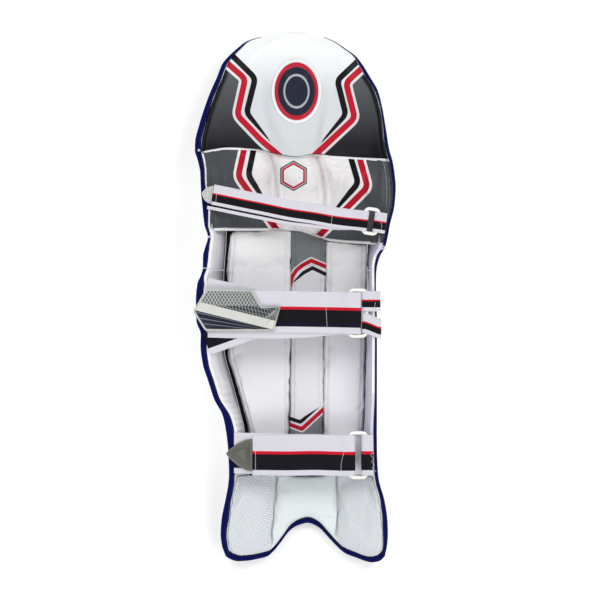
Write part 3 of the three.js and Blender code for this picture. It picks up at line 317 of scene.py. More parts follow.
def spacer_mesh():
    f = Finish("spacer_mesh", 0.85)
    x, y, z = f.place()
    first = (x * 0.62 + y * 0.78 + z * 0.4) * (math.pi / 3.0)
    second = (x * 0.86 - y * 0.5 + z * 0.4) * (math.pi / 3.6)
    cells = abs(f.sine(first)) * (abs(f.sine(second)) * 0.6 + 0.4)
    thread = f.shade(rgb("e6ebf0"), (0.77 + cells * 0.26) * clouds(f, 0.96))
    return f.finish(thread, cells * 0.75 + f.noise(800, 2) * 0.08)


def woven_tape():
    f = Finish("navy_tape", 0.8, gloss=0.1)
    run, side = f.cloth_place()
    ribs = f.sine(run * (2 * math.pi / 1.3)) * 0.5 + f.sine(side * (2 * math.pi / 1.0)) * 0.3
    thread = f.shade(NAVY, (0.85 + ribs * 0.22) * clouds(f, 0.8, 25))
    return f.finish(thread, ribs * 0.16 + f.noise(90, 3) * 0.5)


LEATHER = white_leather()
# Painted shade sets these mesh copies apart: the lower left wing darkens most at its foot, and the right
# wing is a darker, shaded copy overall.
MESH = knitted_mesh("knitted_mesh", "f3f2f7", "fffeff", (1, -60, 60))
UPPER_WING_MESH = knitted_mesh("upper_wing_mesh", "d9d7de", "ffffff", (2, 50, 100))
LOWER_WING_MESH = knitted_mesh("lower_wing_mesh", "8e8c94", "ffffff", (2, 30, 96))
RIGHT_WING_MESH = knitted_mesh("right_wing_mesh", "b4b2c4", "e4e2f2", (2, 30, 104))
SPACER = spacer_mesh()
TAPE = woven_tape()
PEARL_LEATHER = white_leather("pearl_leather", rgb("dfe7e8"), 0.42)
print("finishes so far:", [m.name for m in bpy.data.materials])

# %% [markdown]
# ## The shape of the guard as tables
#
# The whole guard follows one plan outline and one side view. Each table below gives places as
# shares of the guard's length, from the instep end, and widths as shares of its width from the
# middle. A curve that never overshoots its rows turns a table into a smooth line. The named
# sizes are in millimetres.

# %% Sizes and tables
PAD_LENGTH, PAD_WIDTH, SIDE_DEPTH = 730.0, 277.5, 120.0
SHELL_THICKNESS, EDGE_CURL, RIM_LINING, RIM_TURNOVER = 12.0, 10.0, 3.0, 4.0
HAT_DOME, KNEE_CUSHION, KNEE_EDGE = 22.0, 21.0, 3.0
BOLSTER_THICKNESS, INSTEP_CUSHION = 26.0, 13.0
SHIN_RIBS, WING_BULGE, BINDING_HEIGHT, BINDING_FOLD = 7, 4.0, 12.0, 2.0
SEAM_GAP, SEAT_GAP = 0.6, 0.5
HAT_LOW, WING_SPLIT, INSTEP_TOP, EAR_CORNER, BINDING_TOP = 0.754, 0.551, 0.165, 0.012, 0.990

OUTLINE = [
    (0.012, -0.341, 0.448), (0.029, -0.358, 0.458), (0.055, -0.366, 0.463), (0.082, -0.361, 0.460),
    (0.119, -0.342, 0.445), (0.151, -0.327, 0.421), (0.166, -0.324, 0.414), (0.213, -0.328, 0.408),
    (0.251, -0.339, 0.407), (0.279, -0.355, 0.407), (0.309, -0.396, 0.407), (0.345, -0.427, 0.407),
    (0.375, -0.452, 0.407), (0.410, -0.463, 0.407), (0.431, -0.462, 0.407), (0.455, -0.483, 0.407),
    (0.495, -0.486, 0.403), (0.525, -0.479, 0.402), (0.542, -0.461, 0.403), (0.555, -0.452, 0.406),
    (0.578, -0.451, 0.423), (0.593, -0.441, 0.446), (0.613, -0.427, 0.460), (0.636, -0.444, 0.471),
    (0.673, -0.455, 0.494), (0.705, -0.462, 0.500), (0.735, -0.466, 0.494), (0.758, -0.479, 0.484),
    (0.777, -0.493, 0.470), (0.792, -0.492, 0.463), (0.822, -0.474, 0.451), (0.861, -0.442, 0.433),
    (0.890, -0.413, 0.412), (0.914, -0.385, 0.376), (0.940, -0.357, 0.334), (0.955, -0.324, 0.302),
    (0.968, -0.286, 0.255), (0.982, -0.239, 0.199), (0.989, -0.185, 0.156), (0.995, -0.121, 0.116),
    (0.998, -0.066, 0.087), (1.000, -0.027, 0.062),
]
BINDING_WIDTHS = [
    (0.012, 0.025, 0.015), (0.051, 0.029, 0.023), (0.082, 0.034, 0.024), (0.119, 0.028, 0.021),
    (0.213, 0.032, 0.015), (0.251, 0.039, 0.016), (0.318, 0.027, 0.010), (0.420, 0.029, 0.009),
    (0.523, 0.034, 0.006), (0.542, 0.016, 0.008), (0.578, 0.025, 0.015), (0.613, 0.012, 0.015),
    (0.673, 0.027, 0.012), (0.720, 0.020, 0.015), (0.790, 0.030, 0.017), (0.844, 0.027, 0.010),
    (0.929, 0.025, 0.020), (0.959, 0.020, 0.008), (0.987, 0.008, 0.003), (1.000, 0.001, 0.001),
]
FEET = [
    (0.012, -0.210, 0.324, 0.057), (0.082, -0.220, 0.334, 0.057), (0.166, -0.230, 0.339, 0.057),
    (0.247, -0.247, 0.346, 0.057), (0.288, -0.272, 0.351, 0.060), (0.326, -0.299, 0.354, 0.060),
    (0.363, -0.326, 0.356, 0.062), (0.399, -0.348, 0.359, 0.062), (0.531, -0.351, 0.361, 0.067),
    (0.621, -0.338, 0.364, 0.067), (0.683, -0.338, 0.369, 0.062), (0.777, -0.338, 0.359, 0.042),
    (0.833, -0.309, 0.334, 0.027), (0.914, -0.250, 0.270, 0.013), (0.968, -0.190, 0.190, 0.018),
    (1.000, -0.015, 0.050, 0.018),
]
SIDE = [
    (0.000, 0.025, 0.342), (0.063, 0.042, 0.408), (0.119, 0.058, 0.483), (0.166, 0.067, 0.600),
    (0.204, 0.067, 0.675), (0.251, 0.067, 0.760), (0.307, 0.067, 0.867), (0.401, 0.067, 0.933),
    (0.495, 0.067, 0.933), (0.551, 0.067, 0.908), (0.585, 0.082, 0.888), (0.622, 0.100, 0.870),
    (0.664, 0.100, 0.850), (0.711, 0.100, 0.775), (0.749, 0.100, 0.658), (0.777, 0.100, 0.533),
    (0.833, 0.108, 0.458), (0.908, 0.142, 0.408), (0.965, 0.183, 0.375), (1.000, 0.217, 0.350),
]
INSTEP_EDGE = [
    (0.000, 0.0120), (0.037, 0.0050), (0.081, 0.0020), (0.137, 0.0030), (0.205, 0.0065),
    (0.261, 0.0110), (0.301, 0.0210), (0.342, 0.0360), (0.408, 0.0610), (0.460, 0.0700),
    (0.516, 0.0740), (0.578, 0.0670), (0.658, 0.0430), (0.696, 0.0310), (0.745, 0.0180),
    (0.817, 0.0090), (0.922, 0.0000), (0.969, 0.0030), (1.000, 0.0120),
]
KNEE_EDGES = [
    (0.00, 0.772, 0.6260), (0.15, 0.780, 0.6262), (0.30, 0.778, 0.6265), (0.40, 0.769, 0.6260),
    (0.50, 0.763, 0.6245), (0.62, 0.769, 0.6120), (0.70, 0.765, 0.6060), (1.00, 0.758, 0.5990),
]
STRIP = [(0.166, -0.026, 0.140), (0.290, -0.022, 0.141), (0.617, -0.017, 0.156)]
print("rows:", len(OUTLINE), len(FEET), len(SIDE))


# %% Smooth lines through the tables
def smooth(rows, column=1):
    places = np.array([row[0] for row in rows], float)
    values = np.array([row[column] for row in rows], float)
    slope = np.diff(values) / np.diff(places)
    before, after = slope[:-1], slope[1:]
    rising = before * after > 0
    inner = np.where(rising, 2 * before * after / np.where(rising, before + after, 1), 0)
    tangent = np.concatenate([slope[:1], inner, slope[-1:]])

    def line(where):
        place = np.clip(where, places[0], places[-1])
        i = np.searchsorted(places[1:-1], place, side="left")
        step = places[i + 1] - places[i]
        t = (place - places[i]) / step
        start = (2 * t**3 - 3 * t**2 + 1) * values[i] + (t**3 - 2 * t**2 + t) * step * tangent[i]
        end = (3 * t**2 - 2 * t**3) * values[i + 1] + (t**3 - t**2) * step * tangent[i + 1]
        return start + end

    return line


EDGE = {LEFT: smooth(OUTLINE, 1), RIGHT: smooth(OUTLINE, 2)}
BAND = {LEFT: smooth(BINDING_WIDTHS, 1), RIGHT: smooth(BINDING_WIDTHS, 2)}
FOOT = {LEFT: smooth(FEET, 1), RIGHT: smooth(FEET, 2)}
STRIP_EDGES = {LEFT: smooth(STRIP, 1), RIGHT: smooth(STRIP, 2)}
SPINE, FRONT, RIM = smooth(FEET, 3), smooth(SIDE, 1), smooth(SIDE, 2)
INSTEP_LINE, KNEE_TOP, KNEE_LOW = smooth(INSTEP_EDGE), smooth(KNEE_EDGES, 1), smooth(KNEE_EDGES, 2)


def mix(a, b, t):
    return a + (b - a) * t


def bell(gap, width):
    """1 where the gap is nothing, falling to 0 over about twice the width."""
    return np.exp(-((gap / width) ** 2))


def corner_arc(near, here, far, steps):
    """Points of a small arc from near to far, which turns the corner at here."""
    shares = np.linspace(0, 1, steps)
    return [(1 - t) ** 2 * near + 2 * t * (1 - t) * here + t * t * far for t in shares]


def resampled(points, step=1.0, count=None):
    """The rows of points, read at even steps of their length in x and y."""
    run = np.concatenate([[0], np.cumsum(np.hypot(*np.diff(points[:, :2], axis=0).T))])
    places = np.linspace(0, run[-1], count or int(run[-1] / step))
    return np.stack([np.interp(places, run, column) for column in points.T], -1)


def round_off(share):
    """The drop of a rounded edge, from 0 where share is 0 to 1 where it is 1."""
    return 1 - np.sqrt(1 - np.clip(share, 0, 1) ** 2)


def ease(value):
    t = np.clip(value, 0, 1)
    return t * t * (3 - 2 * t)


def y_at(at):
    return (at - 0.5) * PAD_LENGTH


def at_y(y):
    return y / PAD_LENGTH + 0.5


def edge_x(side, at):
    return EDGE[side](at) * PAD_WIDTH


def binding(side, at):
    return BAND[side](at) * PAD_WIDTH


def inset_x(side, at):
    return edge_x(side, at) - side * (binding(side, at) + SEAM_GAP)


def foot_x(side, at):
    return FOOT[side](at) * PAD_WIDTH


def spine_x(at):
    return SPINE(at) * PAD_WIDTH


def front_z(at):
    return FRONT(at) * SIDE_DEPTH


def rim_z(at):
    return RIM(at) * SIDE_DEPTH


def by_side(x, at, line):
    """The line's value on the side of the spine where x lies."""
    return np.where(x < spine_x(at), line(LEFT, at), line(RIGHT, at))


def curl(reach):
    return EDGE_CURL * np.clip((reach - 0.28) / 0.72, 0, 1) ** 2.2


def reach_of(x, at):
    spine = spine_x(at)
    return (x - spine) / (by_side(x, at, foot_x) - spine)


def outer_z(x, at):
    """Front of the foam shell under the point x."""
    foot = by_side(x, at, foot_x)
    out = (x - foot) / (by_side(x, at, inset_x) - foot)
    low = front_z(at) + EDGE_CURL
    wall = low + (rim_z(at) - BINDING_HEIGHT - low) * round_off(out)
    return np.where(reach_of(x, at) <= 1, front_z(at) + curl(reach_of(x, at)), wall)


def inner_z(x, at):
    """Leg side of the foam shell above the point x."""
    foot = by_side(x, at, foot_x)
    out = np.clip((x - foot) / (by_side(x, at, inset_x) - foot), 0, 1)
    low = front_z(at) + EDGE_CURL + SHELL_THICKNESS
    wall = low + (rim_z(at) - RIM_LINING - low) * out**1.6
    return np.where(reach_of(x, at) <= 1, front_z(at) + curl(reach_of(x, at)) + SHELL_THICKNESS, wall)


print("half width at the knee, mm:", float(edge_x(RIGHT, 0.705)))

# %% [markdown]
# ## From surfaces to meshes
#
# Nearly every pad here is a closed slab between two surfaces over one grid, so one helper
# makes them all. It also stores a UV map named cloth that holds real distances along and
# across the grid, in metres, so a weave keeps its size on a curved wall. Sewn cloth is never
# perfectly smooth: `ripple` adds slow waves with a fixed seed.


# %% Slabs, ribbons and ripples
def arc(points, axis):
    step = np.linalg.norm(np.diff(points, axis=axis), axis=2)
    total = np.cumsum(step, axis=axis)
    start = np.zeros_like(np.take(total, [0], axis=axis))
    return np.concatenate([start, total], axis=axis)


def new_piece(name, mesh):
    piece = bpy.data.objects.new(name, mesh)
    bpy.context.scene.collection.objects.link(piece)
    return piece


def shade_smooth(mesh):
    mesh.polygons.foreach_set("use_smooth", [True] * len(mesh.polygons))


def make_mesh(name, points, faces, cloth=None, finishes=(), weld=False, fill=False, sharp=52):
    """Points in millimetres. cloth: each point's place on the cloth. sharp: degrees of a hard edge."""
    mesh = bpy.data.meshes.new(name)
    mesh.from_pydata((np.asarray(points) * MM).tolist(), [], faces)
    if cloth is not None:
        mesh.uv_layers.new(name="cloth")
        corner = np.empty(len(mesh.loops), int)
        mesh.loops.foreach_get("vertex_index", corner)
        flat = (np.asarray(cloth) * MM)[corner].ravel()
        mesh.uv_layers["cloth"].data.foreach_set("uv", flat)
    for finish in finishes:
        mesh.materials.append(finish)
    shell = bmesh.new()
    shell.from_mesh(mesh)
    if weld:
        bmesh.ops.remove_doubles(shell, verts=shell.verts, dist=2e-6)
    if fill:
        bmesh.ops.holes_fill(shell, edges=shell.edges)
    bmesh.ops.recalc_face_normals(shell, faces=shell.faces)
    shell.to_mesh(mesh)
    shell.free()
    shade_smooth(mesh)
    mesh.set_sharp_from_angle(angle=math.radians(sharp))
    return new_piece(name, mesh)


def tube_walls(rows, count):
    """Point numbers of a row of closed rings, and the faces between the rings."""
    ids = np.arange(rows * count).reshape(rows, count)
    after = np.roll(ids, -1, axis=1)
    return ids, np.stack([ids[:-1], after[:-1], after[1:], ids[1:]], -1).reshape(-1, 4).tolist()


def slab(name, top, bottom, *finishes):
    """A closed pad between two grids of points, each rows by columns by 3."""
    rows, columns = top.shape[:2]
    count = rows * columns
    ids = np.arange(count).reshape(rows, columns)
    upper = np.stack([ids[:-1, :-1], ids[:-1, 1:], ids[1:, 1:], ids[1:, :-1]], -1).reshape(-1, 4)
    rim = np.concatenate([ids[0, :-1], ids[:-1, -1], ids[-1, :0:-1], ids[:0:-1, 0]])
    after = np.roll(rim, -1)
    walls = np.stack([after, rim, rim + count, after + count], -1)
    faces = np.concatenate([upper, upper[:, ::-1] + count, walls]).tolist()
    points = np.concatenate([top.reshape(-1, 3), bottom.reshape(-1, 3)])
    cloth = np.stack([arc(top, 1).ravel(), arc(top, 0).ravel()], -1)
    return make_mesh(name, points, faces, np.concatenate([cloth, cloth]), finishes, weld=True)


RIPPLE_WAVES = 9


def ripple(x, y, size, seed):
    """Slow waves between about -1 and 1; size is their length in millimetres."""
    pick = np.random.default_rng(seed)
    total = 0
    for _ in range(RIPPLE_WAVES):
        turn, phase, scale = pick.uniform(0, 2 * math.pi), pick.uniform(0, 7), pick.uniform(0.6, 1.7)
        along = x * math.cos(turn) + y * math.sin(turn)
        total = total + np.sin(along * 2 * math.pi / (size * scale) + phase)
    return total / math.sqrt(RIPPLE_WAVES) / 1.5


def grid(across, along):
    """Two arrays of shares: u changes along a row, v from row to row."""
    return np.meshgrid(np.asarray(across, float), np.asarray(along, float))


def at_ends(count):
    return (1 - np.cos(np.linspace(0, math.pi, count))) / 2


def stack(x, y, z):
    return np.stack(np.broadcast_arrays(x, y, z), -1)


def dress(piece, *nodes, slot, fill=None):
    """Hangs a finished piece on the guard in place of its CAD solids."""
    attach(piece, "root")
    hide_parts(*nodes)
    print(f"{piece.name}: {len(piece.data.polygons)} faces")
    return piece


def mark(piece, name, measure):
    """Stores a number for each point, from its x, y and z in millimetres."""
    count = len(piece.data.vertices)
    spots = np.empty(count * 3)
    piece.data.vertices.foreach_get("co", spots)
    x, y, z = (spots.reshape(-1, 3) / MM).T
    layer = piece.data.attributes.new(name, "FLOAT", "POINT")
    layer.data.foreach_set("value", np.asarray(measure(x, y, z), float))


def line_distance(x, y, corners):
    """Distance to a drawn line, negative on its left as it is walked."""
    best = np.full(np.shape(x), 1e9)
    sign = np.ones(np.shape(x))
    for (x0, y0), (x1, y1) in zip(corners, corners[1:]):
        dx, dy = x1 - x0, y1 - y0
        t = np.clip(((x - x0) * dx + (y - y0) * dy) / (dx * dx + dy * dy), 0, 1)
        away = np.hypot(x - x0 - t * dx, y - y0 - t * dy)
        turn = np.where((x - x0) * dy - (y - y0) * dx > 0, 1, -1)
        nearer = away < best - 1e-6
        sign = np.where(nearer, turn, sign)
        best = np.where(nearer, away, best)
    return best * sign


print("ripple at the middle:", round(float(ripple(0.0, 0.0, 60, 1)), 3))

# %% [markdown]
# ## Stitches and piping with Geometry Nodes
#
# Thread and piping follow a path, so two small node trees make them all. `stitch_run` walks
# a path, drops a rounded stitch at each step, and turns it along the path. `piping` sweeps a
# circle along a path. Each path is a bare polyline made in code, and the result is turned
# into a plain mesh before the guard takes it.


# %% Two trees that follow a path
def new_tree(name, sizes):
    tree = bpy.data.node_groups.new(name, "GeometryNodeTree")
    tree.interface.new_socket("Geometry", in_out="INPUT", socket_type="NodeSocketGeometry")
    tree.interface.new_socket("Geometry", in_out="OUTPUT", socket_type="NodeSocketGeometry")
    sockets = {}
    for label, value in sizes.items():
        made = tree.interface.new_socket(label, in_out="INPUT", socket_type="NodeSocketFloat")
        made.default_value = value
        sockets[label] = made.identifier
    material = tree.interface.new_socket("Finish", in_out="INPUT", socket_type="NodeSocketMaterial")
    sockets["Finish"] = material.identifier
    graph = Graph(tree)
    entry = graph.node("NodeGroupInput")
    inputs = {s.name: Wire(graph, s) for s in entry.socket.node.outputs if s.name}
    return graph, inputs, sockets


def stitch_tree():
    graph, given, sockets = new_tree("stitch_run", {"Pitch": 0.005, "Length": 0.0034, "Thickness": 0.0009})
    path = graph.node("GeometryNodeMeshToCurve", {}, {"Mesh": given["Geometry"]})
    spaced = {"Curve": path, "Length": given["Pitch"]}
    steps = graph.node("GeometryNodeCurveToPoints", {"mode": "LENGTH"}, spaced)
    turned = Wire(graph, steps.socket.node.outputs["Rotation"])
    bead = graph.node("GeometryNodeMeshUVSphere", {}, {"Segments": 6, "Rings": 4, "Radius": 0.5})
    girth = given["Thickness"]
    size = graph.node("ShaderNodeCombineXYZ", {}, {0: girth, 1: girth, 2: given["Length"]})
    sown = {"Points": steps, "Instance": bead, "Rotation": turned, "Scale": size}
    sown = graph.node("GeometryNodeInstanceOnPoints", {}, sown)
    solid = graph.node("GeometryNodeRealizeInstances", {}, {"Geometry": sown})
    done = graph.node("GeometryNodeSetMaterial", {}, {"Geometry": solid, "Material": given["Finish"]})
    graph.node("NodeGroupOutput", {}, {"Geometry": done})
    return graph.tree, sockets


def piping_tree():
    graph, given, sockets = new_tree("piping", {"Radius": 0.002})
    path = graph.node("GeometryNodeMeshToCurve", {}, {"Mesh": given["Geometry"]})
    circle = {"Resolution": 8, "Radius": given["Radius"]}
    circle = graph.node("GeometryNodeCurvePrimitiveCircle", {}, circle)
    tube = {"Curve": path, "Profile Curve": circle, "Fill Caps": True}
    tube = graph.node("GeometryNodeCurveToMesh", {}, tube)
    done = graph.node("GeometryNodeSetMaterial", {}, {"Geometry": tube, "Material": given["Finish"]})
    graph.node("NodeGroupOutput", {}, {"Geometry": done})
    return graph.tree, sockets


STITCH_RUN, PIPING = stitch_tree(), piping_tree()
print("trees:", [tree.name for tree, _ in (STITCH_RUN, PIPING)])


# %% Run a tree along paths
def settled(piece):
    """The piece's mesh with its modifiers worked in."""
    seen = bpy.context.evaluated_depsgraph_get()
    return bpy.data.meshes.new_from_object(piece.evaluated_get(seen))


def follow(name, paths, kind, finish, **sizes):
    """paths: lists of points in millimetres. sizes: the tree's named inputs, in metres."""
    tree, sockets = kind
    points, edges = [], []
    for path in paths:
        start = len(points)
        points += (np.asarray(path, float) * MM).tolist()
        edges += [(i, i + 1) for i in range(start, len(points) - 1)]
    line = bpy.data.meshes.new(name + "_path")
    line.from_pydata(points, edges, [])
    host = new_piece(name + "_path", line)
    walker = host.modifiers.new("follow", "NODES")
    walker.node_group = tree
    for label, value in sizes.items():
        walker[sockets[label]] = value
    walker[sockets["Finish"]] = finish
    mesh = settled(host)
    bpy.data.objects.remove(host)
    mesh.name = name
    shade_smooth(mesh)
    piece = new_piece(name, mesh)
    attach(piece, "root")
    print(f"{name}: {len(mesh.polygons)} faces on {len(paths)} paths")
    return piece


def thread(name, code):
    f = Finish(name, 0.7, sheen=0.2)
    twist = f.noise(1500, 1)
    return f.finish(f.shade(rgb(code), twist * 0.3 + 0.85), twist * 0.1)


WHITE_THREAD, DARK_THREAD = thread("white_thread", "d9d9e4"), thread("dark_thread", "22242c")
BLUE_THREAD = thread("blue_thread", "2b3568")
print("threads ready")

# %% [markdown]
# ## The face of the guard
#
# The face lies on the floor, away from the leg. On the real guard it is white coated leather
# over cane and foam: seven rounded ribs on the shin, three rolls over the knee, a plain flap
# over the thigh and a flared instep. The ribs and rolls are a sine curve raised to a low
# power, which gives full, tight rolls with narrow sewn valleys.

# %% Inner lining, pale, with a painted shadow in the far left gap
dark = Finish("gap_lining", 0.9)
weft = dark.noise(500, 2)
# Painted shadow: left of x = -62 mm the lining turns almost black, where the gap beside the left bolster
# lies in shade.
painted_shadow_left = 1 - dark.above(dark.place()[0], -62.0, 6.0)
lining = dark.mix(painted_shadow_left, rgb("d8d5df"), rgb("33262f"))
GAP_LINING_PAINTED_SHADE = dark.finish(dark.shade(lining, weft * 0.4 + 0.8), weft * 0.2)


# %% Shin panel with its ribs
RIB_ENDS = (0.17, 0.612)


def shin_panel():
    u, at = grid(np.linspace(0, 1, 141), np.linspace(INSTEP_TOP, HAT_LOW, 150))
    x = mix(foot_x(LEFT, at) + SEAM_GAP / 2, foot_x(RIGHT, at) - SEAM_GAP / 2, u)
    swell = np.abs(np.sin(math.pi * SHIN_RIBS * u)) ** 0.6
    fade = ease((at - RIB_ENDS[0]) / 0.03) * ease((RIB_ENDS[1] - at) / 0.02)
    front = stack(x, y_at(at), outer_z(x, at) - front_z(at) * swell * fade)
    back = stack(x, y_at(at), inner_z(x, at))
    piece = slab("shin_panel", back, front, LEATHER, GAP_LINING_PAINTED_SHADE)
    for face in piece.data.polygons:
        face.material_index = int(face.normal.z > 0.3)
    dress(piece, "shin_face", slot="facing")


shin_panel()


# %% Rolls across the front of the knee
ROLL_END = 0.015
KNEE_ROLLS = {
    "knee_roll_upper": (0.7280, 0.7750),
    "knee_roll_middle": (0.6790, 0.7265),
    "knee_roll_lower": (0.6300, 0.6775),
}


def knee_roll(name, low, high):
    u, v = grid(at_ends(60), np.linspace(0, 1, 26))
    at = mix(low, high, v)
    end = ROLL_END * PAD_WIDTH
    x = mix(foot_x(LEFT, at) + end, foot_x(RIGHT, at) - end, u)
    full = np.clip(0.35 + 1.4 * np.sin(math.pi * v), 0, 1) * np.clip(0.5 + 2 * np.sin(math.pi * u), 0, 1)
    full = full * (1 + 0.02 * ripple(x, y_at(at), 30, 5))
    front = stack(x, y_at(at), outer_z(x, at) - front_z(at) * np.minimum(full, 1))
    back = stack(x, y_at(at), outer_z(x, at) - SEAT_GAP)
    dress(slab(name + "_cover", back, front, LEATHER), name, slot="facing", fill=0.9)


for name, span in KNEE_ROLLS.items():
    knee_roll(name, *span)


# %% Thigh flap and instep shells
def shell_top(x, at):
    return np.minimum(inner_z(x, at), rim_z(at) - RIM_LINING)


def thigh_shell():
    u, at = grid(at_ends(70), np.concatenate([np.linspace(HAT_LOW, 0.97, 60), np.linspace(0.972, 1, 26)]))
    x = mix(inset_x(LEFT, at), inset_x(RIGHT, at), u)
    front = stack(x, y_at(at), outer_z(x, at))
    back = stack(x, y_at(at), shell_top(x, at))
    dress(slab("thigh_shell", back, front, LEATHER), "top_hat", slot="facing")


INSTEP_SHARES = np.unique(np.concatenate([np.linspace(0, 1, 90), [row[0] for row in INSTEP_EDGE]]))
LOWER_BAND = binding(LEFT, INSTEP_TOP) / PAD_LENGTH
SEAM_SHARE = SEAM_GAP / PAD_LENGTH


def instep_place(u, v):
    """Point on the instep: u from its left edge, v from the ankle seam down to the ears."""
    at = mix(INSTEP_TOP - SEAM_SHARE / 2, INSTEP_LINE(u) + LOWER_BAND + SEAM_SHARE, v)
    side_at = mix(INSTEP_TOP, EAR_CORNER + LOWER_BAND, v)
    return mix(inset_x(LEFT, side_at), inset_x(RIGHT, side_at), u), y_at(at), side_at


def instep_shell():
    u, v = grid(INSTEP_SHARES, np.linspace(0, 1, 45))
    x, y, at = instep_place(u, v)
    piece = slab("instep_shell", stack(x, y, shell_top(x, at)), stack(x, y, outer_z(x, at)), LEATHER)
    dress(piece, "instep_flare", slot="facing")


thigh_shell()
instep_shell()

# %% [markdown]
# ## Side wings
#
# A padded wing stands up on each side of the leg. Its outside is leather, its inside is knitted
# mesh that turns over the rim. The cloth of the left wing is gathered low down, where the
# wing narrows to the ankle, so short ruffles run in from its rim.


# %% One wing from its sections
GATHER_PITCH, GATHER_DEPTH = 9.5, 1.3


def rim_room(side, at):
    return np.clip(np.abs(inset_x(side, at) - foot_x(side, at)) / (3 * RIM_TURNOVER), 0.1, 1)


def turnover_x(side, at):
    return inset_x(side, at) - side * RIM_TURNOVER * rim_room(side, at)


def wing(name, side, low, high, rows):
    at = np.linspace(low + SEAM_SHARE / 2, high - SEAM_SHARE / 2, rows)[:, None]
    foot, edge, inset = foot_x(side, at) + side * SEAM_GAP / 2, edge_x(side, at), inset_x(side, at)
    base, rim = front_z(at) + EDGE_CURL, rim_z(at)
    notch = rim - BINDING_HEIGHT - SEAM_GAP
    turn = np.radians(np.linspace(0, 90, 16))[None, :]
    height = base + (notch - base) * (1 - np.cos(turn))
    outside = stack(foot + (edge - foot) * np.sin(turn), y_at(at), height)
    step = stack(inset, y_at(at), mix(notch, rim - BINDING_FOLD / 2, np.linspace(0, 1, 3)[None, :]))
    t = np.linspace(0, 1, 26)[None, :]
    room = rim_room(side, at)
    bulge = WING_BULGE * room * ease((WING_SPLIT - at) / 0.05) * np.sin(math.pi * t)
    gathers = ease((0.37 - at) / 0.05) * ease((at - 0.18) / 0.03) if side == LEFT else 0
    ruffle = np.sin(at * PAD_LENGTH * 2 * math.pi / GATHER_PITCH + 2 * ripple(at * PAD_LENGTH, 0, 60, 3))
    ruffle = gathers * ruffle * GATHER_DEPTH * bell(t - 0.25, 0.3) * room
    slack = 0.7 * room * np.sin(math.pi * t) * ripple(at * PAD_LENGTH, t * 45, 38, 11 + side)
    seam = 1.6 * room * bell(t - 0.42, 0.045)
    seam = seam + 1.3 * room * bell(t - 0.70, 0.035) * (side == RIGHT)
    x = mix(turnover_x(side, at), foot, t) - side * (bulge + ruffle + slack - seam)
    inside = stack(x, y_at(at), mix(rim, base + SHELL_THICKNESS, t))
    ring = np.concatenate([outside, step, inside], axis=1)
    walls = tube_walls(*ring.shape[:2])[1]
    cloth = np.stack([arc(ring, 1).ravel(), arc(ring, 0).ravel()], -1)
    left_lining = UPPER_WING_MESH if low == WING_SPLIT else LOWER_WING_MESH
    lining = RIGHT_WING_MESH if side == RIGHT else left_lining
    piece = make_mesh(name + "_padding", ring.reshape(-1, 3), walls, cloth, (LEATHER, lining), fill=True)
    for face in piece.data.polygons:
        beyond_tape = side * (face.center.x / MM - float(inset_x(side, at_y(face.center.y / MM))))
        face.material_index = int(beyond_tape < 0.6 and side * face.normal.x < 0.25)
    dress(piece, name, slot="mesh_fabric", fill=0.7)


wing("wing_left_upper", LEFT, WING_SPLIT, HAT_LOW, 90)
wing("wing_left_lower", LEFT, INSTEP_TOP, WING_SPLIT, 260)
wing("wing_right_upper", RIGHT, WING_SPLIT, HAT_LOW, 90)
wing("wing_right_lower", RIGHT, INSTEP_TOP, WING_SPLIT, 160)

# %% [markdown]
# ## The navy binding
#
# A woven tape is folded over the whole rim and sewn down with blue thread. It is swept along
# the outline as one closed loop of rounded sections that open at the top of the thigh
# flap, where white leather turns over instead. Its width changes on purpose: the tape bunches
# at the knee and draws in where the straps pull.


# %% Stations round the rim
def binding_stations():
    hat = np.linspace(HAT_LOW, BINDING_TOP, 130)[1:]
    shin = np.linspace(0.030, HAT_LOW, 520)
    tall = np.concatenate([shin, hat])[::-1]
    u = np.unique(np.concatenate([at_ends(120), np.linspace(0, 1, 150)]))

    def side_rows(side, at):
        pull = 1 + 0.05 * ripple(at * PAD_LENGTH, 0, 45, 21 + side)
        inner = edge_x(side, at) - side * (binding(side, at) * pull + SEAM_GAP / 2)
        return np.stack([edge_x(side, at), y_at(at), inner, y_at(at), rim_z(at)], -1)

    inside_at = EAR_CORNER + LOWER_BAND
    inner = mix(inset_x(LEFT, inside_at), inset_x(RIGHT, inside_at), u)
    outer = mix(edge_x(LEFT, EAR_CORNER), edge_x(RIGHT, EAR_CORNER), u)
    height = outer_z(inner, inside_at) + BINDING_HEIGHT
    low = np.stack([outer, y_at(INSTEP_LINE(u)), inner, y_at(INSTEP_LINE(u) + LOWER_BAND), height], -1)
    return np.concatenate([side_rows(LEFT, tall), low, side_rows(RIGHT, tall[::-1])])


STATIONS = binding_stations()
print("binding stations:", len(STATIONS))


# %% Sweep the tape and sew it
STATION_STEP = 1.6
TAPE_PROFILE = [(0.02, 12.0), (0.0, 8.0), (0.0, 4.5), (0.05, 2.2), (0.14, 0.8), (0.28, 0.15), (0.45, 0.0)]
TAPE_PROFILE += [(0.62, 0.15), (0.78, 0.7), (0.90, 1.6), (0.97, 3.0), (1.0, 5.0), (1.0, 9.0), (0.98, 12.0)]


def binding_point(rows, share, drop):
    """Point on the tape: share from the outer edge inwards, drop below the rim."""
    x = mix(rows[:, 0], rows[:, 2], share)
    y = mix(rows[:, 1], rows[:, 3], share)
    return np.stack([x, y, rows[:, 4] - drop], -1)


